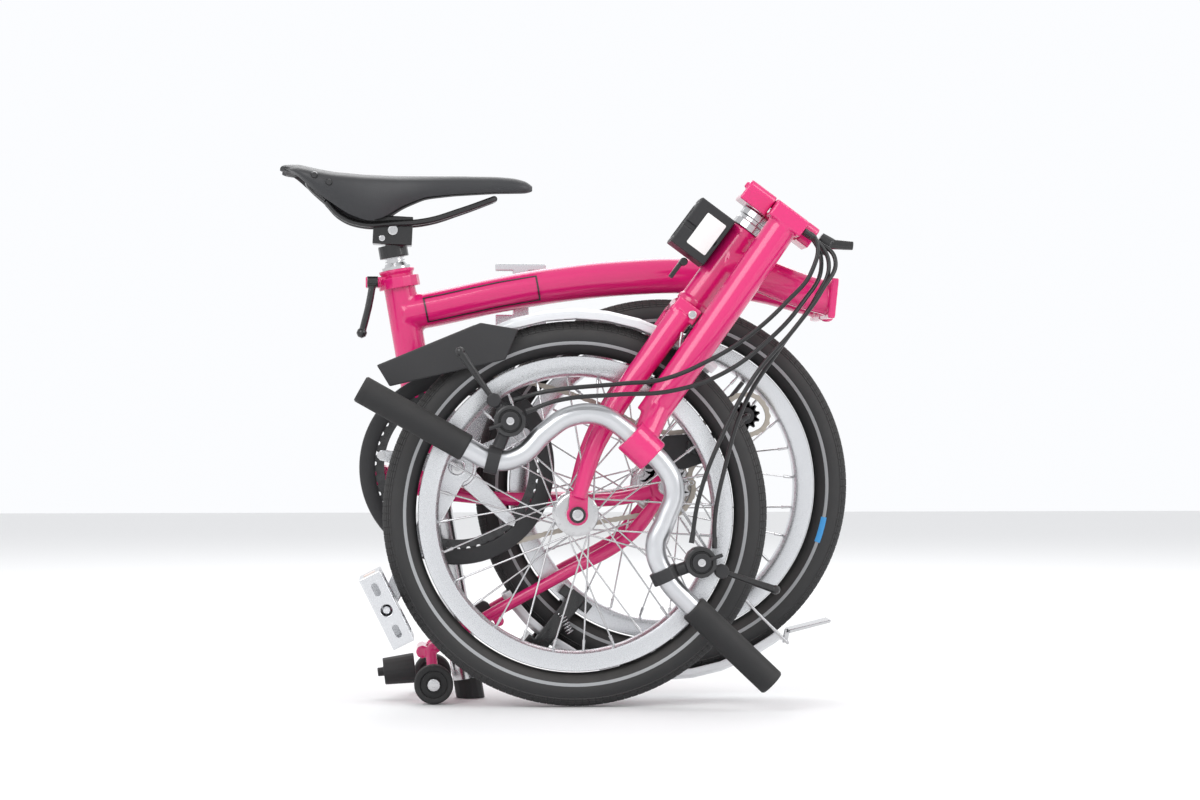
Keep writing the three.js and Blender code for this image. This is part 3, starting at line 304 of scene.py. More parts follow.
def finish(name, colour, values):  # one shader with grain, wear and dust, set by its own values
    look = bpy.data.materials.new(name)
    look.use_nodes = True
    nodes = look.node_tree.nodes
    links = look.node_tree.links
    shader = nodes["Principled BSDF"]
    shader.inputs["Metallic"].default_value = values.get("metal", 0.0)
    shader.inputs["Coat Weight"].default_value = values.get("coat", 0.0)
    shader.inputs["Coat Roughness"].default_value = values.get("coatRough", 0.06)
    shader.inputs["Specular IOR Level"].default_value = values.get("specular", 0.5)
    shader.inputs["Sheen Weight"].default_value = values.get("sheen", 0.0)
    grain = nodes.new("ShaderNodeGroup")
    grain.node_tree = grainGroup
    grain.inputs["Scale"].default_value = values.get("grainScale", 700.0)
    grain.inputs["Depth"].default_value = values.get("grainDepth", 0.08)
    wear = nodes.new("ShaderNodeGroup")
    wear.node_tree = wearGroup
    wear.inputs["Amount"].default_value = values.get("wear", 0.2)
    dust = nodes.new("ShaderNodeGroup")
    dust.node_tree = dustGroup
    dust.inputs["Amount"].default_value = values.get("dust", 0.1)
    tone = nodes.new("ShaderNodeMix")
    tone.data_type = "RGBA"
    tone.inputs["A"].default_value = (*[c * values.get("dark", 0.9) for c in colour], 1.0)
    tone.inputs["B"].default_value = (*colour, 1.0)
    worn = nodes.new("ShaderNodeMix")
    worn.data_type = "RGBA"
    worn.inputs["B"].default_value = (*values.get("bare", [min(1, c * 1.5 + 0.05) for c in colour]), 1.0)
    dusty = nodes.new("ShaderNodeMix")
    dusty.data_type = "RGBA"
    dusty.inputs["B"].default_value = dustColour
    rough = nodes.new("ShaderNodeMapRange")
    low = values.get("rough", 0.4)
    rough.inputs["To Min"].default_value = low * 0.85
    rough.inputs["To Max"].default_value = low * 1.2
    links.new(grain.outputs["Value"], tone.inputs["Factor"])
    links.new(tone.outputs["Result"], worn.inputs["A"])
    links.new(wear.outputs["Mask"], worn.inputs["Factor"])
    links.new(worn.outputs["Result"], dusty.inputs["A"])
    links.new(dust.outputs["Mask"], dusty.inputs["Factor"])
    links.new(dusty.outputs["Result"], shader.inputs["Base Color"])
    links.new(grain.outputs["Value"], rough.inputs["Value"])
    links.new(rough.outputs["Result"], shader.inputs["Roughness"])
    links.new(grain.outputs["Normal"], shader.inputs["Normal"])
    return look


pinkPaint = finish("pinkPaint", (0.69, 0.008, 0.155), {
    "rough": 0.24, "coat": 0.7, "coatRough": 0.05, "grainScale": 420.0, "grainDepth": 0.02,
    "wear": 0.12, "dust": 0.02, "dark": 0.94, "bare": (0.85, 0.2, 0.4)})
barAlloy = finish("barAlloy", (0.66, 0.67, 0.69), {
    "metal": 1.0, "rough": 0.3, "grainScale": 1500.0, "grainDepth": 0.03, "wear": 0.1, "dust": 0.03})
crankAlloy = finish("crankAlloy", (0.72, 0.73, 0.75), {
    "metal": 1.0, "rough": 0.26, "grainScale": 1100.0, "grainDepth": 0.05, "wear": 0.15, "dust": 0.05})
brightSteel = finish("brightSteel", (0.6, 0.6, 0.61), {
    "metal": 1.0, "rough": 0.22, "grainScale": 900.0, "grainDepth": 0.04, "dust": 0.05})
chainSteel = finish("chainSteel", (0.42, 0.38, 0.33), {
    "metal": 1.0, "rough": 0.35, "grainScale": 1200.0, "grainDepth": 0.08, "wear": 0.4, "dust": 0.12})
blackMetal = finish("blackMetal", (0.012, 0.012, 0.013), {
    "metal": 0.2, "rough": 0.28, "coat": 0.4, "grainDepth": 0.02, "wear": 0.25, "dust": 0.05,
    "bare": (0.2, 0.2, 0.21)})
blackPlastic = finish("blackPlastic", (0.016, 0.016, 0.018), {
    "rough": 0.42, "grainScale": 1800.0, "grainDepth": 0.12, "wear": 0.2, "dust": 0.06})
flapRubber = finish("flapRubber", (0.02, 0.02, 0.022), {
    "rough": 0.5, "grainScale": 900.0, "grainDepth": 0.1, "dust": 0.1})
gripRubber = finish("gripRubber", (0.013, 0.013, 0.014), {
    "rough": 0.62, "grainScale": 2600.0, "grainDepth": 0.3, "dust": 0.08})
tyreRubber = finish("tyreRubber", (0.022, 0.022, 0.023), {
    "rough": 0.68, "grainScale": 1300.0, "grainDepth": 0.25, "dust": 0.16, "wear": 0.1})
stripeGrey = finish("stripeGrey", (0.34, 0.35, 0.36), {
    "rough": 0.35, "grainScale": 3000.0, "grainDepth": 0.06, "dust": 0.05})
skyBlue = finish("skyBlue", (0.05, 0.33, 0.72), {"rough": 0.45, "grainDepth": 0.05})
guardSilver = finish("guardSilver", (0.74, 0.75, 0.77), {
    "metal": 0.25, "rough": 0.3, "coat": 0.3, "grainScale": 1500.0, "grainDepth": 0.03, "dust": 0.05})
labelWhite = finish("labelWhite", (0.83, 0.83, 0.82), {"rough": 0.45, "grainDepth": 0.03})
lineBlack = finish("lineBlack", (0.01, 0.01, 0.011), {"rough": 0.3, "coat": 0.5, "grainDepth": 0.01})
amberLens = finish("amberLens", (0.9, 0.32, 0.03), {
    "rough": 0.16, "coat": 0.8, "grainScale": 300.0, "grainDepth": 0.3})
cableBlack = finish("cableBlack", (0.012, 0.012, 0.013), {
    "rough": 0.33, "grainScale": 1600.0, "grainDepth": 0.05, "dust": 0.03})


def leatherFinish():  # cells of grain over broad soft creases
    look = finish("saddleLeather", (0.022, 0.023, 0.026), {
        "rough": 0.46, "grainScale": 260.0, "grainDepth": 0.12, "sheen": 0.15, "dust": 0.05,
        "wear": 0.2, "bare": (0.09, 0.09, 0.1)})
    nodes = look.node_tree.nodes
    links = look.node_tree.links
    place = nodes.new("ShaderNodeTexCoord")
    cells = nodes.new("ShaderNodeTexVoronoi")
    cells.inputs["Scale"].default_value = 900.0
    bump = nodes.new("ShaderNodeBump")
    bump.inputs["Strength"].default_value = 0.25
    bump.inputs["Distance"].default_value = 0.0003
    links.new(place.outputs["Object"], cells.inputs["Vector"])
    links.new(cells.outputs["Distance"], bump.inputs["Height"])
    grain = [node for node in nodes if node.type == "GROUP" and node.node_tree == grainGroup][0]
    links.new(grain.outputs["Normal"], bump.inputs["Normal"])
    links.new(bump.outputs["Normal"], nodes["Principled BSDF"].inputs["Normal"])
    return look


def machinedRim(name, centre):  # fine rings left by turning, counted from the wheel's middle
    look = finish(name, (0.7, 0.71, 0.73), {
        "metal": 1.0, "rough": 0.27, "grainScale": 1200.0, "grainDepth": 0.03, "dust": 0.05})
    nodes = look.node_tree.nodes
    links = look.node_tree.links
    place = nodes.new("ShaderNodeTexCoord")
    centred = nodes.new("ShaderNodeMapping")
    centred.inputs["Location"].default_value = (-centre[0], 0, -centre[2])
    centred.inputs["Scale"].default_value = (1.0, 0.0, 1.0)
    length = nodes.new("ShaderNodeVectorMath")
    length.operation = "LENGTH"
    rings = nodes.new("ShaderNodeTexNoise")
    rings.noise_dimensions = "1D"
    rings.inputs["Scale"].default_value = 2200.0
    bump = nodes.new("ShaderNodeBump")
    bump.inputs["Strength"].default_value = 0.05
    bump.inputs["Distance"].default_value = 0.0002
    links.new(place.outputs["Object"], centred.inputs["Vector"])
    links.new(centred.outputs["Vector"], length.inputs[0])
    links.new(length.outputs["Value"], rings.inputs["W"])
    links.new(rings.outputs["Fac"], bump.inputs["Height"])
    links.new(bump.outputs["Normal"], nodes["Principled BSDF"].inputs["Normal"])
    return look


saddleLeather = leatherFinish()
print("finishes made")


def mould(node, name, body, look, voxel=0.8, passes=4, extras=(), angle=60):
    piece = copyNode(node, name)
    piece = joinAll([piece, *extras], name)
    applyModifier(piece, "REMESH", mode="VOXEL", voxel_size=voxel * 0.001)
    applyModifier(piece, "SMOOTH", factor=0.5, iterations=passes)
    return finishPiece(piece, body, look, angle, [node])


proud = 0.25  # how far the round tubes cover the drawing's flats


def mainFrameTubes():
    hinge = Vector(joints["main_fold"]["pos_m"])
    line = [at(-214, 0, 430), at(-174, 0, 438), at(-106, 0, 452.9), at(-40, 0, 464), at(35, 0, 472),
            at(110, 0, 474), at(187, 0, 464.5), Vector((hinge.x - 0.0055, shift.y, hinge.z + 0.0025))]
    return [
        tube(line, 20 + proud, "mainTubeRound", 12),
        bar(at(-180.5, 0, 241), at(-222, 0, 480.5), 17.6 + proud, "seatTubeRound", 48),
        bar(at(-221.3, 0, 477), at(-222, 0, 481), 20 + proud, "seatTubeLip", 48),
        bar(at(-155, -34, 260), at(-155, 34, 260), 19 + proud, "shellRound", 48),
    ]


def frontFrameTubes():
    hinge = Vector(joints["main_fold"]["pos_m"])
    middle = onSteer(66, 0, -112)
    start = Vector((hinge.x - 0.005, middle.y, hinge.z + 0.0005))
    bend = Vector((hinge.x - 0.0392, middle.y, hinge.z + 0.0101))
    return [
        bar(onSteer(1.3, 0, -112), onSteer(104, 0, -112), 17 + proud, "headTubeRound", 48),
        bar(onSteer(2, 0, -112), onSteer(9, 0, -112), 19, "headLipLow", 48),
        bar(onSteer(97, 0, -112), onSteer(103.7, 0, -112), 19, "headLipHigh", 48),
        tube([start, bend, middle], 19 + proud, "stubRound", 12),
    ]


def forkTubes():
    parts = []
    for side in (-1, 1):
        spread = -112 + side * 37
        line = [at(87, spread, 429), at(55, spread, 385), at(20, spread + side * 2, 336),
                at(-9, spread + side * 6, 282), at(-26, spread + side * 8.5, 229)]
        parts.append(tube(line, 14 + proud, "bladeRound", 12, tapers=[1.0, 0.943, 0.857, 0.714, 0.536]))
    return parts


def handlePostTubes():
    top = onSteer(134.8, 25, -163)
    foot = onSteer(-124, 33, -163)
    clampMiddle = at(40, -186, 285)
    clampAlong = Vector((0.72, 0, -0.694))
    return [
        bar(top, foot, 17 + proud, "postRound", 48),
        bar(clampMiddle - clampAlong * 0.017, clampMiddle - clampAlong * 0.001, 19.2, "barClampLeft", 48),
        bar(clampMiddle + clampAlong * 0.001, clampMiddle + clampAlong * 0.017, 19.2, "barClampRight", 48),
    ]


def rearFrameTubes():
    parts = []
    for side in (-1, 1):
        parts.append(tube([at(-239, side * 30, 250), at(-200, side * 31, 236), at(-150, side * 32, 228),
                           at(-60, side * 33, 223), at(-8, side * 47, 223), at(30, side * 57.5, 226),
                           at(60, side * 58, 233)], 7.5 + proud, "chainStayRound", 8))
        parts.append(tube([at(68, side * 58, 224), at(40, side * 54, 186), at(-40, side * 45, 139),
                           at(-120, side * 34, 94), at(-184, side * 30, 56)], 6.5 + proud,
                               "seatStayRound", 8))
    return parts


mould("main_frame", "mainFramePainted", "main_frame", pinkPaint, 1.5, 10, mainFrameTubes())
mould("front_frame", "frontFramePainted", "front_frame", pinkPaint, 1.1, 8, frontFrameTubes())
mould("fork", "forkPainted", "fork", pinkPaint, 1.1, 8, forkTubes())
mould("handlepost", "handlepostPainted", "handlepost", pinkPaint, 1.2, 8, handlePostTubes())
mould("rear_frame", "rearFramePainted", "rear_frame", pinkPaint, 1.1, 8, rearFrameTubes())
print("painted frame made")

mouldings = [
    ("seat_clamp", "seatClampBand", "main_frame", pinkPaint, "pink_paint", 0.6, 4),
    ("seat_clamp_lever", "seatQuickLever", "seat_clamp_lever", blackMetal, "black_metal", 0.6, 5),
    ("main_clamp_plate", "mainHingePlate", "main_frame", crankAlloy, "alloy", 0.6, 4),
    ("main_clamp_lever", "mainHingeLever", "main_clamp_lever", blackMetal, "black_metal", 0.6, 5),
    ("luggage_block", "luggageBlockMoulded", "front_frame", blackPlastic, "black_plastic", 0.8, 3),
    ("luggage_catch", "luggageCatchArm", "luggage_catch", blackMetal, "black_metal", 0.5, 3),
    ("front_brake", "frontBrakeArms", "fork", blackMetal, "black_metal", 0.7, 5),
    ("front_mudguard", "frontGuardShell", "fork", guardSilver, "guard_silver", 0.9, 5),
    ("rear_mudguard", "rearGuardShell", "rear_frame", guardSilver, "guard_silver", 0.9, 5),
    ("front_mud_flap", "frontFlap", "fork", flapRubber, "rubber", 0.9, 4),
    ("front_axle", "frontAxleNuts", "fork", blackMetal, "black_metal", 0.5, 3),
    ("left_control", "leftControlPod", "handlepost", blackPlastic, "black_plastic", 0.7, 4),
    ("right_control", "rightControlPod", "handlepost", blackPlastic, "black_plastic", 0.7, 4),
    ("left_brake_lever", "leftLeverBlade", "left_brake_lever", blackMetal, "black_metal", 0.5, 5),
    ("right_brake_lever", "rightLeverBlade", "right_brake_lever", blackMetal, "black_metal", 0.5, 5),
    ("left_shifter", "leftShiftPaddle", "left_shifter", blackPlastic, "black_plastic", 0.5, 4),
    ("right_shifter", "rightShiftPaddle", "right_shifter", blackPlastic, "black_plastic", 0.5, 4),
    ("stem_clamp_lever", "stemWingLever", "stem_clamp_lever", blackMetal, "black_metal", 0.6, 5),
    ("seat_post_bung", "postBung", "seat_post", gripRubber, "rubber", 0.7, 3),
    ("saddle_clamp", "saddleClampBlock", "seat_post", blackMetal, "black_metal", 0.7, 3),
    ("right_crank", "rightCrankForged", "cranks", crankAlloy, "alloy", 0.8, 5),
    ("left_crank", "leftCrankForged", "cranks", crankAlloy, "alloy", 0.8, 5),
    ("right_pedal", "rightPedalCage", "right_pedal", crankAlloy, "alloy", 0.7, 3),
    ("left_pedal", "leftPedalBody", "left_pedal", crankAlloy, "alloy", 0.8, 4),
    ("suspension_block", "suspensionRubber", "rear_frame", gripRubber, "rubber", 0.7, 4),
    ("stop_disc", "stopDiscMoulded", "rear_frame", blackPlastic, "black_plastic", 0.6, 3),
    ("rear_brake", "rearBrakeArms", "rear_frame", blackMetal, "black_metal", 0.7, 5),
    ("rear_mudguard_stay", "rearGuardStay", "rear_frame", brightSteel, "steel", 0.6, 3),
    ("rear_axle", "rearAxleNuts", "rear_frame", brightSteel, "steel", 0.5, 3),
    ("tensioner_body", "tensionerCasing", "rear_frame", blackPlastic, "black_plastic", 0.7, 4),
    ("tensioner_arm", "tensionerArmBar", "tensioner_arm", blackMetal, "black_metal", 0.6, 4),
    ("roller_axle", "rollerAxleBar", "rear_frame", brightSteel, "steel", 0.6, 3),
    ("headset_upper", "headsetRings", "front_frame", brightSteel, "steel", 0.5, 3),
]
for node, name, body, look, slotName, voxel, passes in mouldings:
    mould(node, name, body, look, voxel, passes)
print("moulded pieces made:", len(mouldings))


wheelValues = {
    "steps": 112,
    "spokes": 28,
    "spokeRadius": 1.0,
    "nippleRadius": 1.9,
    "treadDepth": 0.8,
    "treadGap": 0.55,
    "stripeRadius": 186.0,
    "stripeWidth": 3.4,
}


def wheelCentre(joint):
    return Vector(joints[joint]["pos_m"])


def makeTyre(name, node, body, centre):
    low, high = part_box(node)
    outer = (high.z - low.z) / 2 * 1000 - wheelValues["treadDepth"]
    half = 17.0
    deselect()
    bpy.ops.mesh.primitive_torus_add(
        location=(0, 0, 0),
        rotation=(math.pi / 2, 0, 0),
        major_segments=168,
        minor_segments=36,
        major_radius=(outer - half) * 0.001,
        minor_radius=half * 0.001,
    )
    tyre = bpy.context.object
    settle(tyre)
    for vertex in tyre.data.vertices:
        radius = math.hypot(vertex.co.x, vertex.co.z) * 1000
        across = abs(vertex.co.y) * 1000
        if radius < 181:
            share = (181 - radius) / 7.0  # the beads reach down to the rim
            target = 181 - share * 9.1
            vertex.co.x *= target / radius
            vertex.co.z *= target / radius
            vertex.co.y *= 1 - 0.15 * share
        if radius > 200:
            lead = 0.004 * across / 10  # the tread's blocks lean back from the middle
            vertex.co = Matrix.Rotation(lead, 3, "Y") @ vertex.co
    editMode(tyre, "DESELECT")
    selectFaces(tyre, lambda place, normal: math.hypot(place.x, place.z) > 0.2005)
    bpy.ops.mesh.inset(thickness=wheelValues["treadGap"] * 0.001,
                       depth=wheelValues["treadDepth"] * 0.001, use_individual=True)
    objectMode()
    tyre.location = centre
    settle(tyre)
    tyre.name = name
    finishPiece(tyre, body, tyreRubber, 32, [node])
    return tyre


def makeStripe(name, body, centre, side, look, start=0.0, sweepAngle=2 * math.pi, width=None, lift=0.0):
    radius = wheelValues["stripeRadius"]
    width = width or wheelValues["stripeWidth"]
    tube0, half = 192.2, 17.05 + lift
    inner = radius - width / 2
    steps = 5
    outline = []
    for index in range(steps + 1):
        at0 = inner + width * index / steps
        outline.append((at0, side * (math.sqrt(half ** 2 - (tube0 - at0) ** 2) + 0.12)))
    outline += [(radius0, across - side * 0.6) for radius0, across in reversed(outline)]
    deselect()
    bpy.ops.mesh.primitive_circle_add(vertices=len(outline), radius=0.01, location=(0, 0, 0))
    ring = bpy.context.object
    for vertex, (at0, across) in zip(ring.data.vertices, outline):
        vertex.co = Vector((at0 * math.cos(start), across, -at0 * math.sin(start))) * 0.001
    editMode(ring)
    if sweepAngle < 6:
        bpy.ops.mesh.edge_face_add()
    bpy.ops.mesh.spin(steps=max(8, int(150 * sweepAngle / 6.3)), angle=sweepAngle, center=(0, 0, 0),
        axis=(0, 1, 0))
    objectMode()
    tidyMesh(ring)
    ring.location = centre
    settle(ring)
    ring.name = name
    return finishPiece(ring, body, look, 40)


rimOutline = [
    (150.2, -7.5), (152.5, -10.6), (156.5, -11.9), (171.0, -12.0), (171.5, -11.4), (171.3, -10.2),
    (160.0, -9.8), (157.0, -7.0), (156.4, 0.0), (157.0, 7.0), (160.0, 9.8), (171.3, 10.2),
    (171.5, 11.4), (171.0, 12.0), (156.5, 11.9), (152.5, 10.6), (150.2, 7.5), (149.2, 4.0),
    (149.0, 0.0), (149.2, -4.0),
]


def makeRim(name, node, body, centre):
    rim = spun(rimOutline, centre, name, wheelValues["steps"])
    look = machinedRim(name + "Finish", centre)
    return finishPiece(rim, body, look, 35, [node])


def flangeDisc(centre, across, radius, side):
    profile = [(5.5, -1.6), (radius - 5, -1.9), (radius - 1.5, -1.5), (radius, -0.6), (radius, 0.6),
               (radius - 1.5, 1.5), (radius - 5, 1.9), (5.5, 1.6)]
    return spun([(r, across + y * side) for r, y in profile], centre, "flange", 48)


def hubShell(centre, barrel, flange, flangeHalf, hubHalf):
    parts = []
    wall = flangeHalf - 3
    profile = [(5.5, -wall), (barrel + 4, -wall), (barrel + 1, -wall + 5), (barrel, -wall + 9),
        (barrel, wall - 9),
               (barrel + 1, wall - 5), (barrel + 4, wall), (5.5, wall)]
    parts.append(spun(profile, centre, "barrel", 48))
    for side in (-1, 1):
        parts.append(flangeDisc(centre, side * flangeHalf, flange, side))
        capEnds = [(5.5, side * flangeHalf), (12.5, side * flangeHalf), (12.0, side * (hubHalf - 6)),
                   (8.5, side * (hubHalf - 3)), (8.5, side * hubHalf), (5.5, side * hubHalf)]
        parts.append(spun(capEnds, centre, "hubCap", 40))
    return parts


def spokeLines(centre, flange, flangeHalf):
    lines = []
    count = wheelValues["spokes"]
    for index in range(count):
        side = -1 if index % 2 == 0 else 1
        lead = math.radians(52 if index % 4 < 2 else -52)
        angle = index / count * 2 * math.pi + 0.06
        start = Vector((math.cos(angle + lead), 0, math.sin(angle + lead))) * (flange - 3.2)
        start.y = side * flangeHalf
        end = Vector((math.cos(angle), 0, math.sin(angle))) * 149.5
        end.y = side * 1.5
        lines.append((centre + start * 0.001, centre + end * 0.001, side))
    return lines


def makeHub(name, node, body, centre, barrel, flange, flangeHalf, hubHalf, extras=()):
    parts = hubShell(centre, barrel, flange, flangeHalf, hubHalf) + list(extras)
    hub = joinAll(parts, name)
    finishPiece(hub, body, brightSteel, 35, [node])
    spokes = []
    for start, end, side in spokeLines(centre, flange, flangeHalf):
        spokes.append(bar(start, end, wheelValues["spokeRadius"], "spoke", 8))
        out = (end - start).normalized()
        spokes.append(bar(end - out * 0.011, end, wheelValues["nippleRadius"], "nipple", 10, 1.3))
        head = Vector((start.x, centre.y + side * (flangeHalf + 2.2) * 0.001, start.z))
        spokes.append(bar(start, head, 1.7, "spokeHead", 10, 1.2))
    laced = joinAll(spokes, name + "Spokes")
    finishPiece(laced, body, brightSteel, 50)
    return hub


def makeValve(name, body, centre, angle):
    out = Vector((math.cos(angle), 0, math.sin(angle)))
    base = centre + out * 0.1485
    parts = [bar(base, base - out * 0.022, 2.6, "valveStem", 16),
        bar(base - out * 0.022, base - out * 0.034, 3.6,
             "valveCap", 16, 2.8)]
    return finishPiece(joinAll(parts, name), body, blackMetal)


def sprocket(centre, across, radius, teeth, thick, name):  # a toothed disc
    outline = []
    for index in range(teeth * 4):
        angle = index / (teeth * 4) * 2 * math.pi
        reach = radius if index % 4 in (1, 2) else radius - 3.4
        outline.append((reach * math.cos(angle), reach * math.sin(angle)))
    deselect()
    bpy.ops.mesh.primitive_circle_add(vertices=len(outline), radius=0.01, fill_type="NGON")
    disc = bpy.context.object
    disc.name = name
    for vertex, (x, z) in zip(disc.data.vertices, outline):
        vertex.co = Vector((x, across - thick / 2, z)) * 0.001
    editMode(disc)
    bpy.ops.mesh.inset(thickness=0.006, depth=0.0)
    bpy.ops.mesh.select_all(action="SELECT")
    bpy.ops.mesh.extrude_region_move(TRANSFORM_OT_translate={"value": (0, thick * 0.001, 0)})
    objectMode()
    disc.location = centre
    settle(disc)
    tidyMesh(disc)
    return disc


wheels = {
    "front": {"joint": "front_wheel_spin", "body": "front_wheel", "barrel": 13, "flange": 24,
              "flangeHalf": 28, "hubHalf": 37},
    "rear": {"joint": "rear_wheel_spin", "body": "rear_wheel", "barrel": 24, "flange": 33,
             "flangeHalf": 30, "hubHalf": 49},
}
for label, size in wheels.items():
    centre = wheelCentre(size["joint"])
    body = size["body"]
    makeTyre(label + "TyreTreaded", label + "_tyre", body, centre)
    for side in (-1, 1):
        makeStripe(label + "Stripe" + ("Near" if side < 0 else "Far"), body, centre, side, stripeGrey)
    makeRim(label + "RimTurned", label + "_rim", body, centre)
    extras = [sprocket(centre, -45, 29, 14, 2.4, "rearSprocket")] if label == "rear" else []
    makeHub(label + "HubShell", label + "_hub", body, centre, size["barrel"], size["flange"],
            size["flangeHalf"], size["hubHalf"], extras)
    makeValve(label + "Valve", body, centre, 0.9)
rearCentre = wheelCentre("rear_wheel_spin")
makeStripe("rearBlueMark", "rear_wheel", rearCentre, -1, skyBlue, math.radians(20), math.radians(9), 6.0, 0.1)
print("wheels made")


barLine = [(-257, 345), (-143.5, 281), (-117, 270), (-90, 275), (-63, 300), (-36, 317), (-4, 318),
           (22, 303), (40, 285), (60, 269), (75, 238), (66, 207), (55, 179), (65, 147), (92, 115), (178, 33)]
barPlane = -186
barPlaces = [at(x, barPlane, z) for x, z in barLine]
barPiece = tube(barPlaces, 11, "handlebarBent", 12)
finishPiece(barPiece, "handlepost", barAlloy, 60, ["handlebar"])

gripValues = {"radius": 15.0, "ribs": 34, "groove": 0.55, "flutes": 36}


def makeGrip(name, node, end, inner):  # a sleeve with rings, crossed by flutes
    out = (end - inner).normalized()
    start = inner + out * 0.004
    stop = end + out * 0.0035
    length = (stop - start).length
    deselect()
    bpy.ops.mesh.primitive_cylinder_add(vertices=gripValues["flutes"] * 2,
        radius=gripValues["radius"] * 0.001,
                                        depth=length, location=(0, 0, 0))
    grip = bpy.context.object
    editMode(grip, "DESELECT")
    count = gripValues["ribs"]
    for index in range(1, count * 2):
        bpy.ops.mesh.select_all(action="SELECT")
        height = -length / 2 + length * index / (count * 2)
        bpy.ops.mesh.bisect(plane_co=(0, 0, height), plane_no=(0, 0, 1))
    objectMode()
    for vertex in grip.data.vertices:
        spot = vertex.co
        depth = 0.0
        step = round((spot.z + length / 2) / length * count * 2)
        around = round(math.atan2(spot.y, spot.x) / (2 * math.pi) * gripValues["flutes"] * 2)
        edge = min(step, count * 2 - step)
        if edge > 3 and (step + around) % 2:
            depth = gripValues["groove"]
        if edge == 0:
            depth = 1.4
        radius = math.hypot(spot.x, spot.y) * 1000
        if radius > 5:
            spot.x *= (radius - depth) / radius
            spot.y *= (radius - depth) / radius
    editMode(grip, "DESELECT")
    selectFaces(grip, lambda place, normal: abs(normal.z) > 0.9 and abs(place.z) > length / 2 - 0.0001)
    bpy.ops.mesh.inset(thickness=0.0045, depth=-0.0004)
    bpy.ops.mesh.inset(thickness=0.002, depth=-0.0006)
    objectMode()
    grip.rotation_mode = "QUATERNION"
    grip.rotation_quaternion = out.to_track_quat("Z", "Y")
    grip.location = (start + stop) / 2
    grip.name = name
    return finishPiece(grip, "handlepost", gripRubber, 25, [node])


makeGrip("leftGripRibbed", "left_grip", barPlaces[0], barPlaces[1])
makeGrip("rightGripRibbed", "right_grip", barPlaces[-1], barPlaces[-2])

cableRoutes = {
    "front_brake_cable": [(-96, -186, 334), (-70, -197, 342), (20, -199, 352), (60, -199, 356),
                          (110, -199, 376), (150, -196, 400), (196, -191, 440), (224, -184, 474)],
    "rear_brake_cable": [(118, -190, 176), (118, -196, 210), (128, -196, 260), (150, -194, 330),
                         (190, -188, 392), (228, -181, 444), (243, -174, 482)],
    "gear_cable_near": [(92, -203, 182), (100, -203, 230), (122, -202, 290), (160, -200, 360),
                        (206, -195, 414), (234, -187, 452), (250, -172, 487)],
    "gear_cable_far": [(-84, -203, 322), (-50, -206, 334), (10, -207, 340), (70, -206, 344),
                       (124, -205, 362), (172, -202, 396), (214, -186, 440), (236, -166, 478)],
}
cableValues = {
    "radius": 2.4,
    "ferrule": 3.0,
    "ferruleLength": 0.012,
    "portUp": 136,
    "portSide": 46.2,
    "portRun": 14.4,
}
cablePorts = {  # how far across each one enters the hinge casting
    "front_brake_cable": -177,
    "rear_brake_cable": -170,
    "gear_cable_near": -163,
    "gear_cable_far": -156,
}
for node, route in cableRoutes.items():
    portUp, portSide = cableValues["portUp"], cableValues["portSide"]
    port = [onSteer(portUp, portSide + run, cablePorts[node]) for run in (cableValues["portRun"], 0)]
    places = [at(*place) for place in route] + port
    sleeve = tube(places, cableValues["radius"], node + "Sleeve", 5)
    ends = []
    for first, second in ((places[0], places[1]), (places[-1], places[-2])):
        inward = (second - first).normalized()
        tip = first + inward * cableValues["ferruleLength"]
        ends.append(bar(first, tip, cableValues["ferrule"], "ferrule", 14, 2.7))
    piece = joinAll([sleeve, *ends], node + "Sleeve")
    finishPiece(piece, "handlepost", cableBlack, 50, [node])
print("bar, grips and cables made")


saddleValues = {
    "top": [(-349, 597), (-330, 596.8), (-310, 592), (-290, 588.5), (-260, 586), (-225, 585), (-150, 585.5),
            (-110, 585), (-90, 583.5), (-76, 580), (-69, 574)],
    "skirt": [(-349, 592), (-335, 585), (-310, 562), (-275, 538), (-252, 530), (-236, 535), (-216, 549),
              (-190, 560), (-160, 563.5), (-110, 566.5), (-76, 567), (-69, 569)],
    "half": [(-349, 30), (-344, 46), (-338, 57), (-327, 66), (-315, 70.5), (-300, 72), (-285, 71),
    (-268, 66.5),
             (-250, 59.5), (-232, 50), (-215, 40), (-198, 31.5), (-180, 26), (-160, 22.5), (-140, 20),
             (-115, 18.6),
             (-95, 17.6), (-82, 15.5), (-74, 12), (-70, 7), (-69, 3)],
    "wall": 3.2,
}


def between(table, x):  # a smooth value between a table's entries
    for (x0, v0), (x1, v1) in zip(table, table[1:]):
        if x <= x1:
            share = max(0.0, (x - x0) / (x1 - x0))
            return v0 + (v1 - v0) * share
    return table[-1][1]


def saddlePoint(along, around):  # along from tail 0 to nose 1, around from -1 to 1
    eased = 0.5 - 0.5 * math.cos(math.pi * along)
    x = -349 + 280 * (0.35 * eased + 0.65 * along)
    half = between(saddleValues["half"], x)
    top = between(saddleValues["top"], x)
    skirt = between(saddleValues["skirt"], x)
    side = abs(around)
    sign = 1 if around >= 0 else -1
    crown0 = 0.66
    shoulder = min(7.0, half * 0.4)
    if side < crown0:
        y = half * 0.93 * side / crown0
        z = top - shoulder * (side / crown0) ** 3.2
    else:
        down = (side - crown0) / (1 - crown0)
        y = half * (0.93 + 0.07 * math.sin(math.pi * min(1.0, down * 1.3) / 2))
        z = top - shoulder - (top - shoulder - skirt) * down
        y -= 0.12 * half * down ** 3
    return at(x, y * sign, z)


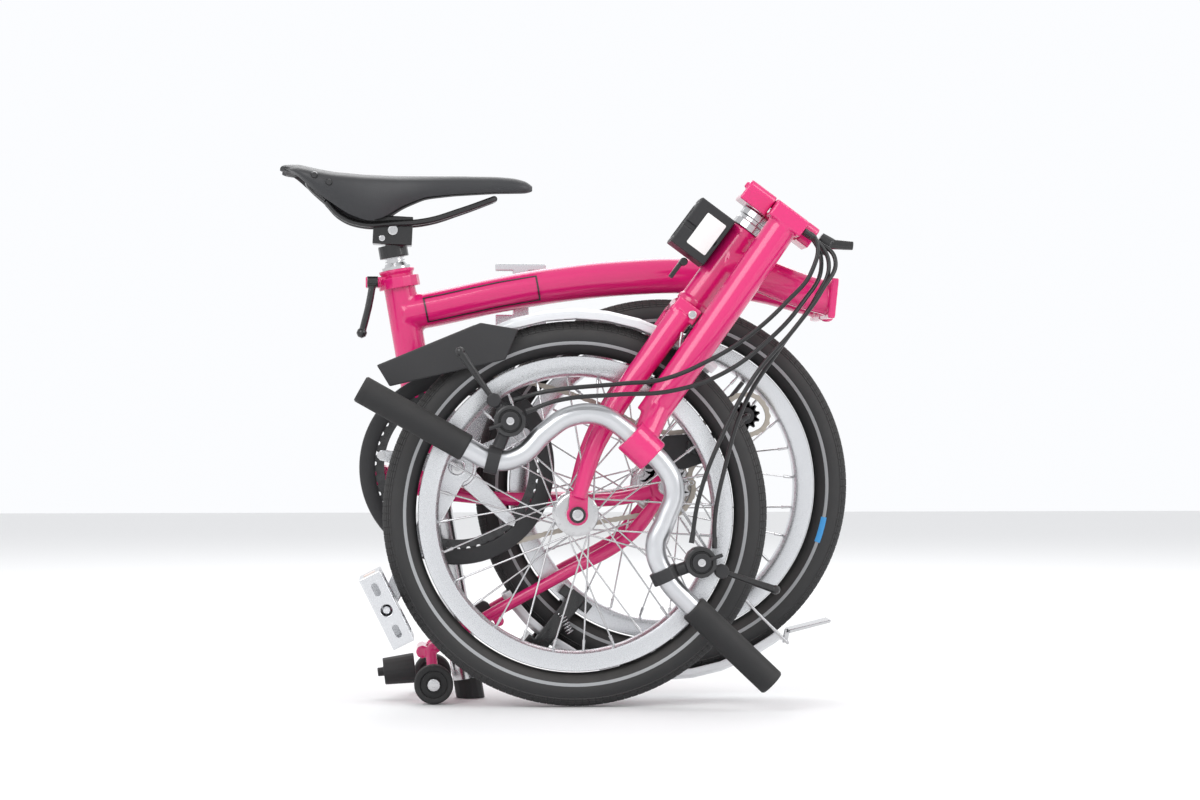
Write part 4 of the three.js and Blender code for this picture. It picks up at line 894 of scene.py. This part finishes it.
def makeSaddle():
    rows, columns = 64, 37
    deselect()
    bpy.ops.mesh.primitive_grid_add(x_subdivisions=rows - 1, y_subdivisions=columns - 1, size=1)
    seat = bpy.context.object
    for vertex in seat.data.vertices:
        vertex.co = saddlePoint(vertex.co.x + 0.5, vertex.co.y * 2)
    editMode(seat)
    bpy.ops.mesh.normals_make_consistent(inside=False)
    objectMode()
    applyModifier(seat, "SMOOTH", factor=0.5, iterations=3)
    applyModifier(seat, "SOLIDIFY", thickness=saddleValues["wall"] * 0.001, offset=-1)
    applyModifier(seat, "BEVEL", width=0.0011, segments=3, limit_method="ANGLE", angle_limit=math.radians(50))
    applyModifier(seat, "SUBSURF", levels=1, render_levels=1)
    seat.name = "saddleTop"
    finishPiece(seat, "seat_post", saddleLeather, 50, ["saddle"])
    parts = []
    for side in (-1, 1):
        for x, z in ((-312, 582), (-296, 574)):
            half = between(saddleValues["half"], x)
            y = side * half * 0.985
            parts.append(bar(at(x, y - side * 2.4, z), at(x, y + side * 0.4, z), 4.0, "rivet", 20, 3.0))
    finishPiece(joinAll(parts, "saddleRivets"), "seat_post", blackMetal)


def makeSaddleRails():
    parts = []
    for side in (-1, 1):
        line = [(-300, side * 26, 556), (-284, side * 24, 540), (-262, side * 22, 531.5),
            (-226, side * 22, 531.5),
                (-190, side * 21, 534), (-150, side * 16, 546), (-112, side * 9, 560)]
        parts.append(tube([at(*place) for place in line], 3.5, "rail", 8))
    parts.append(bar(at(-112.5, -9, 559.8), at(-112.5, 9, 559.8), 3.5, "railBridge", 20))
    parts.append(tube([at(-300, -26, 556), at(-318, -14, 572), at(-321, 0, 577), at(-318, 14, 572),
                       at(-300, 26, 556)], 3.0, "cantleBar", 8))
    finishPiece(joinAll(parts, "saddleRailsBent"), "seat_post", blackMetal, 50,
        ["saddle_rails"])


makeSaddle()
makeSaddleRails()


def seatLine(z):  # on the seat post's axis
    share = (z - 238) / (481 - 238)
    return at(-180 - 42 * share, 0, z)


def makeSeatPost():
    post = bar(seatLine(22.3), seatLine(484), 15.9, "post", 64)
    collar = bar(seatLine(482), seatLine(488), 14.4, "collar", 48, 11.5)
    neck = bar(seatLine(486), seatLine(507), 9.0, "neck", 40)
    rings = [bar(seatLine(z), seatLine(z + 1.6), 11.0, "ring", 40) for z in (489.5, 493.0)]
    piece = joinAll([post, collar, neck, *rings], "seatPostPolished")
    finishPiece(piece, "seat_post", brightSteel, 30, ["seat_post"])


makeSeatPost()
print("saddle and post made")


driveValues = {"ringTeeth": 50, "ringRadius": 94.0, "linkPitch": 8.0, "plane": -45.0}


def makeChainRing():
    centre = crankJoint
    teeth = driveValues["ringTeeth"]
    deselect()
    bpy.ops.mesh.primitive_circle_add(vertices=teeth * 4, radius=0.08, fill_type="NOTHING")
    ring = bpy.context.object
    for index, vertex in enumerate(ring.data.vertices):
        angle = index / (teeth * 4) * 2 * math.pi
        vertex.co = Vector((0.0805 * math.cos(angle), -0.0018, 0.0805 * math.sin(angle)))
    editMode(ring)
    bpy.ops.mesh.select_mode(type="EDGE")
    bpy.ops.mesh.select_all(action="SELECT")
    bpy.ops.mesh.extrude_region_move()
    mesh = bmesh.from_edit_mesh(ring.data)
    outer = [vertex for vertex in mesh.verts if vertex.select]
    for vertex in outer:
        angle = math.atan2(vertex.co.z, vertex.co.x) / (2 * math.pi) * teeth * 4
        reach = driveValues["ringRadius"] if round(angle) % 4 in (0, 1) else driveValues["ringRadius"] - 5.0
        outward = Vector((vertex.co.x, 0, vertex.co.z)).normalized()
        vertex.co = outward * reach * 0.001 + Vector((0, -0.0018, 0))
    bmesh.update_edit_mesh(ring.data)
    objectMode()
    applyModifier(ring, "SOLIDIFY", thickness=0.0032, offset=0)
    ring.location = centre + Vector((0, driveValues["plane"] * 0.001 + 0.0018, 0))
    settle(ring)
    tidyMesh(ring)
    ring.name = "chainRingToothed"
    finishPiece(ring, "cranks", blackMetal, 30, ["chain_ring"])


def makeChainGuard():
    profile = [(90.8, -53.2), (93, -53.9), (105, -54.2), (107.4, -53.8), (108, -52.4), (107.6, -51.0),
        (105, -50.6),
               (92, -50.5), (90.6, -51.4)]
    guard = spun(profile, crankJoint, "chainGuardMoulded", 120)
    finishPiece(guard, "cranks", blackPlastic, 40, ["chain_guard"])
    bolts = []
    for index in range(5):
        angle = math.radians(27 + index * 72)
        place = crankJoint + Vector((-math.sin(angle), 0, -math.cos(angle))) * 0.085
        bolts.append(bar(place + Vector((0, -0.0555, 0)), place + Vector((0, -0.0495, 0)), 4.6,
            "ringBolt", 20))
    finishPiece(joinAll(bolts, "chainRingBolts"), "cranks", brightSteel, 40)


def chainPath():
    run = driveValues["ringRadius"] + 9
    points = [(-155 + run * math.cos(math.radians(a)), 260 + run * math.sin(math.radians(a)))
              for a in range(75, 276, 25)]
    points += [(-103, 173), (-24, 193), (50, 206)]
    for a in (-70, -35, 0, 30):
        turn = math.radians(a)
        points.append((76 + 33 * math.cos(turn), 238 + 33 * math.sin(turn)))
    points += [(128, 281), (165, 293), (187, 303), (191, 321), (177, 339), (155, 338)]
    points += [(134, 318), (100, 300), (60, 302), (-8, 334), (-80, 355)]
    return points


def alongChain():  # evenly spaced places and directions on the closed path
    knots = chainPath()
    fine = []
    count = len(knots)
    for index in range(count):
        p0, p1, p2, p3 = (Vector(knots[(index + step) % count]) for step in (-1, 0, 1, 2))
        for part in range(24):
            t = part / 24
            fine.append(0.5 * (2 * p1 + (p2 - p0) * t + (2 * p0 - 5 * p1 + 4 * p2 - p3) * t * t
                               + (3 * p1 - p0 - 3 * p2 + p3) * t ** 3))
    lengths = [(fine[(i + 1) % len(fine)] - fine[i]).length for i in range(len(fine))]
    links = 2 * round(sum(lengths) / driveValues["linkPitch"] / 2)
    pitch = sum(lengths) / links
    places, travelled, index = [], 0.0, 0
    for link in range(links):
        while travelled + lengths[index] < link * pitch:
            travelled += lengths[index]
            index += 1
        share = (link * pitch - travelled) / lengths[index]
        places.append(fine[index].lerp(fine[(index + 1) % len(fine)], share))
    return places


def makeChain():  # inner and outer links in turn, each two waisted plates and a roller
    places = alongChain()
    parts = []
    for index, place in enumerate(places):
        following = places[(index + 1) % len(places)]
        middle = (place + following) / 2
        turn = math.atan2(following.y - place.y, following.x - place.x)
        half = (following - place).length / 2
        offset = 2.7 if index % 2 else 2.0
        for side in (-1, 1):
            deselect()
            bpy.ops.mesh.primitive_circle_add(vertices=12, radius=0.001, fill_type="NGON")
            plate = bpy.context.object
            for vertex in plate.data.vertices:
                angle = math.atan2(vertex.co.y, vertex.co.x)
                across = math.cos(angle)
                x = across * 3.1 + (half if across > 0.1 else -half if across < -0.1 else 0)
                z = math.sin(angle) * (3.3 if abs(across) > 0.1 else 2.3)
                vertex.co = Vector((x, side * offset, z)) * 0.001
            editMode(plate)
            bpy.ops.mesh.extrude_region_move(TRANSFORM_OT_translate={"value": (0, side * 0.0007, 0)})
            objectMode()
            plate.rotation_euler = (0, -turn, 0)
            plate.location = at(middle.x, -45, middle.y)
            parts.append(plate)
        pin = bar(at(place.x, -48.3, place.y), at(place.x, -41.7, place.y), 1.7, "chainRoller", 8)
        parts.append(pin)
    chain = joinAll(parts, "chainLinked")
    settle(chain)
    tidyMesh(chain)
    finishPiece(chain, "rear_frame", chainSteel, 30, ["chain"])
    print("chain links:", len(places))


def makeJockey():
    centre = Vector(joints["jockey_spin"]["pos_m"])
    centre.y = shift.y
    wheel = sprocket(centre, -44, 15.9, 11, 4.0, "jockeyTeeth")
    hub = spun([(3.6, -49), (9, -49), (9.5, -46.5), (9.5, -41.5), (9, -39), (3.6, -39)], centre,
        "jockeyHub", 40)
    finishPiece(joinAll([wheel, hub], "jockeyWheelToothed"), "jockey_wheel", blackPlastic,
        35,
                ["jockey_wheel"])


def makeRollers():
    for node, body in (("near_roller", "near_roller"), ("far_roller", "far_roller")):
        low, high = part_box(node)
        centre = (low + high) / 2
        profile = [(4.4, -9), (8, -9.6), (8.4, -7.4), (14.5, -7.0), (15.4, -9.2), (18.6, -9.9), (20.4, -9.4),
                   (21.5, -7.6), (21.5, -2.2), (20.9, -1.2), (20.9, 1.2), (21.5, 2.2), (21.5, 7.6),
                   (20.4, 9.4),
                   (18.6, 9.9), (15.4, 9.2), (14.5, 7.0), (8.4, 7.4), (8, 9.6), (4.4, 9)]
        roller = spun(profile, centre, node + "Turned", 72)
        finishPiece(roller, body, gripRubber, 30, [node])


makeChainRing()
makeChainGuard()
makeChain()
makeJockey()
makeRollers()
print("drive and rollers made")


def socketBolt(place, out, radius, height):  # a button head with a hexagon recess
    deselect()
    bpy.ops.mesh.primitive_cylinder_add(vertices=24, radius=radius * 0.001, depth=height * 0.001,
                                        location=(0, 0, height * 0.0005))
    head = bpy.context.object
    settle(head)
    editMode(head, "DESELECT")
    selectFaces(head, lambda spot, normal: normal.z > 0.9)
    bpy.ops.mesh.inset(thickness=radius * 0.00018, depth=height * 0.00012)
    bpy.ops.mesh.inset(thickness=radius * 0.00034, depth=0.0)
    bpy.ops.mesh.extrude_region_move(TRANSFORM_OT_translate={"value": (0, 0, -height * 0.0006)})
    objectMode()
    head.rotation_mode = "QUATERNION"
    head.rotation_quaternion = Vector(out).to_track_quat("Z", "Y")
    head.location = place
    settle(head)
    return head


near = Vector((0, -1, 0))
far = Vector((0, 1, 0))
boltSets = {
    "forkBolts": ("fork", [(at(-27, -161.9, 210.6), near, 6.0, 3.0),
    (onSteer(-8, 4, -159.2), near, 4.5, 3.0)]),
    "frameBolts": ("main_frame", [(at(-239, -40.8, 250), near, 5.0, 2.0),
    (at(-239, 40.8, 250), far, 5.0, 2.0),
                                  (at(-250.4, 20.1, 466), far, 4.2, 2.4)]),
    "postBolts": ("seat_post", [(at(-226, -20.3, 524), near, 5.5, 2.6), (at(-226, 20.3, 524), far, 5.5, 2.6),
                                (at(-238, -20.3, 515), near, 3.4, 2.0)]),
    "rearBolts": ("rear_frame", [(at(-181, -90.2, 22), near, 5.0, 2.4), (at(-181, 90.2, 22), far, 5.0, 2.4)]),
    "crankBolts": ("cranks", [(at(-155, -68.1, 260), near, 7.4, 2.4), (at(-155, 66.1, 260), far, 7.4, 2.4)]),
}
for name, (body, bolts) in boltSets.items():
    heads = [socketBolt(place, out, radius, height) for place, out, radius, height in bolts]
    finishPiece(joinAll(heads, name), body, brightSteel, 35)


def makePodRings():  # the shifters' round covers: two steps and a cross slot
    for label, x, z in (("left", -101, 312), ("right", 103, 161)):
        centre = at(x, 0, z)
        face = -186 - 13
        profile = [(6.0, face + 0.2), (16.2, face + 0.2), (16.2, face - 1.0), (14.8, face - 1.6),
            (12.4, face - 1.6),
                   (11.6, face - 0.8), (10.8, face - 0.8), (10.4, face - 0.1), (6.0, face - 0.1)]
        ring = spun(profile, centre, label + "PodRing", 64)
        finishPiece(ring, "handlepost", blackMetal, 35)
        cap = socketBolt(at(x, face - 5.3, z), near, 4.2, 1.6)
        finishPiece(joinAll([cap], label + "PodScrew"), label + "_shifter", brightSteel, 35)


makePodRings()


def makeFrameOutline():  # a thin drawn rectangle that wraps the main tube's near side
    values = {"start": -190.0, "end": -63.0, "spread": 43.0, "line": 1.7, "radius": 20.8}
    line = [(-214, 430), (-174, 438), (-106, 452.9), (-40, 464), (35, 472)]
    columns, rows = 90, 24
    deselect()
    bpy.ops.mesh.primitive_grid_add(x_subdivisions=columns, y_subdivisions=rows, size=1)
    strip = bpy.context.object
    long = values["end"] - values["start"]
    tall = 2 * math.radians(values["spread"]) * values["radius"]
    marks = []
    for vertex in strip.data.vertices:
        u, v = vertex.co.x + 0.5, vertex.co.y + 0.5
        marks.append((u, v))
        edgeU = values["line"] / long
        edgeV = values["line"] / tall
        stepU, stepV = 1 / columns, 1 / rows
        if abs(u - stepU) < stepU / 2:
            u = edgeU
        if abs(u - 1 + stepU) < stepU / 2:
            u = 1 - edgeU
        if abs(v - stepV) < stepV / 2:
            v = edgeV
        if abs(v - 1 + stepV) < stepV / 2:
            v = 1 - edgeV
        x = values["start"] + long * u
        z = between(line, x)
        slope = (between(line, x + 3) - between(line, x - 3)) / 6
        up = Vector((-slope, 0, 1)).normalized()
        angle = math.radians(values["spread"]) * (2 * v - 1)
        vertex.co = at(x, 0, z) + (up * math.sin(angle) + near * math.cos(angle)) * values["radius"] * 0.001
    editMode(strip, "DESELECT")
    mesh = bmesh.from_edit_mesh(strip.data)
    mesh.verts.ensure_lookup_table()
    for face in mesh.faces:
        u = sum(marks[vertex.index][0] for vertex in face.verts) / 4
        v = sum(marks[vertex.index][1] for vertex in face.verts) / 4
        border = u < 1 / columns or u > 1 - 1 / columns or v < 1 / rows or v > 1 - 1 / rows
        face.select_set(not border)
    bmesh.update_edit_mesh(strip.data)
    bpy.ops.mesh.delete(type="FACE")
    bpy.ops.mesh.select_all(action="SELECT")
    bpy.ops.mesh.normals_make_consistent(inside=False)
    objectMode()
    applyModifier(strip, "SOLIDIFY", thickness=0.0003, offset=0)
    strip.name = "frameOutline"
    finishPiece(strip, "main_frame", lineBlack, 50)


makeFrameOutline()


def plateOn(place, out, up, width, height, thick, name, corner=1.6):  # a thin plate with round corners
    deselect()
    bpy.ops.mesh.primitive_cube_add(size=0.001)
    plate = bpy.context.object
    plate.scale = (width, height, thick)
    settle(plate)
    editMode(plate)
    bpy.ops.mesh.select_mode(type="EDGE")
    mesh = bmesh.from_edit_mesh(plate.data)
    for edge in mesh.edges:
        flank = edge.verts[0].co - edge.verts[1].co
        edge.select_set(abs(flank.z) > abs(flank.x) + abs(flank.y))
    bmesh.update_edit_mesh(plate.data)
    bpy.ops.mesh.bevel(offset=corner * 0.001, segments=5)
    objectMode()
    applyModifier(plate, "BEVEL", width=thick * 0.0002, segments=2, limit_method="ANGLE")
    across = Vector(up).cross(Vector(out)).normalized()
    turned = Matrix((across, Vector(up).normalized(), Vector(out).normalized())).transposed()
    plate.rotation_mode = "QUATERNION"
    plate.rotation_quaternion = turned.to_quaternion()
    plate.location = place
    settle(plate)
    plate.name = name
    return plate


def makeLuggageDetails():
    label = plateOn(onSteer(73, -35, -140.4), near, steerUp, 25, 40, 0.8, "luggageLabel")
    finishPiece(label, "front_frame", labelWhite, 35)
    ribs = []
    for offset in (-20, 20):
        ribs.append(plateOn(onSteer(73, -62.1, -112 + offset), -steerSide, steerUp, 5, 44, 1.0, "rib", 1.0))
    ribs.append(plateOn(onSteer(100, -62.1, -112), -steerSide, steerUp, 44, 4, 1.0, "rib", 1.0))
    ribs.append(plateOn(onSteer(47.5, -62.1, -112), -steerSide, steerUp, 44, 4, 1.0, "rib", 1.0))
    finishPiece(joinAll(ribs, "luggageRibs"), "front_frame", blackPlastic, 35)


makeLuggageDetails()


def makePedalDetails():
    low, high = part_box("right_pedal")
    centre = (low + high) / 2
    tilt = math.atan2(101.5, 202)
    longWay = Vector((-math.sin(tilt), 0, math.cos(tilt)))
    thickWay = Vector((math.cos(tilt), 0, math.sin(tilt)))
    lens = plateOn(centre + longWay * 0.0405, longWay, Vector((0, 1, 0)), 15, 46, 3.2, "amberReflector", 2.0)
    finishPiece(lens, "right_pedal", amberLens, 35)
    cage = bpy.data.objects["rightPedalCage"]
    front = Vector((centre.x, low.y, centre.z))
    for step in (-25, 25):
        hollow = plateOn(front + longWay * step * 0.001, Vector((0, -1, 0)), longWay, 7, 15, 9, "hollow", 3.4)
        applyModifier(cage, "BOOLEAN", object=hollow, operation="DIFFERENCE", solver="EXACT")
        bpy.data.objects.remove(hollow)
    studs = []
    for side in (-1, 1):
        for step in range(-4, 5):
            for edge in (-41, 41):
                across = Vector((0, edge * 0.001, 0))
                place = centre + longWay * step * 0.0088 + across + thickWay * side * 0.0105
                studs.append(bar(place, place + thickWay * side * 0.0018, 1.9, "stud", 10, 1.1))
    finishPiece(joinAll(studs, "pedalStuds"), "right_pedal", crankAlloy, 35)


makePedalDetails()


def coil(start, end, radius, wire, turns, name):  # a helical spring between two places
    along = end - start
    side = along.orthogonal().normalized()
    other = along.normalized().cross(side)
    places = []
    for index in range(turns * 10 + 1):
        angle = index / 10 * 2 * math.pi
        share = index / (turns * 10)
        reach = side * math.cos(angle) + other * math.sin(angle)
        places.append(start + along * share + reach * radius * 0.001)
    return tube(places, wire, name, 3)


def makeSprings():
    low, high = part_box("rear_brake")
    middle = (low + high) / 2
    spring = coil(middle + Vector((0.004, -0.034, 0.012)), middle + Vector((0.014, -0.034, -0.010)), 4.0,
        0.7, 7,
                  "brakeSpring")
    finishPiece(spring, "rear_frame", brightSteel, 50)
    spring = coil(onSteer(-60, 27, -139.2), onSteer(-34, 25, -141), 3.2, 0.6, 7, "frontBrakeSpring")
    finishPiece(spring, "fork", brightSteel, 50)


makeSprings()


def makeForkHook():  # the bent wire that holds the folded fork
    wire = tube([onSteer(-30, 6, -160), onSteer(-44, 14, -161), onSteer(-52, 26, -158),
        onSteer(-44, 34, -152)], 1.5,
                "hookWire", 6)
    finishPiece(wire, "fork", brightSteel, 50)


makeForkHook()


def makeIndicator():  # the gear chain's small links out of the rear axle's end
    beads = []
    for index in range(6):
        place = rearCentre + Vector((0.004 + index * 0.0046, -0.0735, 0.001 * index))
        deselect()
        bpy.ops.mesh.primitive_torus_add(location=place, major_radius=0.0022, minor_radius=0.0006,
                                         major_segments=14, minor_segments=6,
                                         rotation=(math.pi / 2 if index % 2 else 0.3, 0, 0))
        link = bpy.context.object
        link.scale = (1.4, 1.0, 1.0)
        settle(link)
        beads.append(link)
    finishPiece(joinAll(beads, "gearIndicatorChain"), "rear_frame", brightSteel, 50)


makeIndicator()
print("small fittings made")


def makeStudio():
    deselect()
    bpy.ops.mesh.primitive_plane_add(size=12, location=(0, 0, -0.0005))
    floor = bpy.context.object
    floor.name = "studioFloor"
    paper = bpy.data.materials.new("paperWhite")
    paper.use_nodes = True
    paper.node_tree.nodes["Principled BSDF"].inputs["Base Color"].default_value = (0.9, 0.9, 0.9, 1)
    paper.node_tree.nodes["Principled BSDF"].inputs["Roughness"].default_value = 0.75
    floor.data.materials.append(paper)
    world = bpy.data.worlds.new("softRoom")
    world.use_nodes = True
    world.node_tree.nodes["Background"].inputs["Color"].default_value = (0.97, 0.98, 1.0, 1)
    world.node_tree.nodes["Background"].inputs["Strength"].default_value = 1.0
    nodes, links = world.node_tree.nodes, world.node_tree.links
    place = nodes.new("ShaderNodeTexCoord")
    height = nodes.new("ShaderNodeSeparateXYZ")
    shade = nodes.new("ShaderNodeMapRange")
    shade.inputs["From Min"].default_value = 0.15
    shade.inputs["From Max"].default_value = 0.9
    shade.inputs["To Min"].default_value = 1.0
    shade.inputs["To Max"].default_value = 0.8
    links.new(place.outputs["Generated"], height.inputs["Vector"])
    links.new(height.outputs["Z"], shade.inputs["Value"])
    links.new(shade.outputs["Result"], nodes["Background"].inputs["Strength"])
    bpy.context.scene.world = world
    bpy.context.scene.view_settings.view_transform = "Standard"
    softboxes = [((-1.6, -2.2, 2.2), 2.0, 40), ((2.2, -1.4, 1.8), 1.6, 26), ((0.2, 2.2, 2.4), 2.2, 30)]
    for place, size, power in softboxes:
        bpy.ops.object.light_add(type="AREA", location=place)
        lamp = bpy.context.object
        lamp.data.size = size
        lamp.data.energy = power
        lamp.rotation_mode = "QUATERNION"
        lamp.rotation_quaternion = (Vector((0, 0, 0.3)) - lamp.location).to_track_quat("-Z", "Y")


def makeCamera():
    target = at(0, -112, 334.4)
    eye = target + Vector((-0.214, -3.494, 0.0))
    bpy.ops.object.camera_add(location=eye)
    camera = bpy.context.object
    camera.rotation_mode = "QUATERNION"
    camera.rotation_quaternion = (target - eye).to_track_quat("-Z", "Y")
    camera.data.lens = 96.2
    camera.data.sensor_width = 36
    bpy.context.scene.camera = camera


makeStudio()
makeCamera()
print("studio ready")
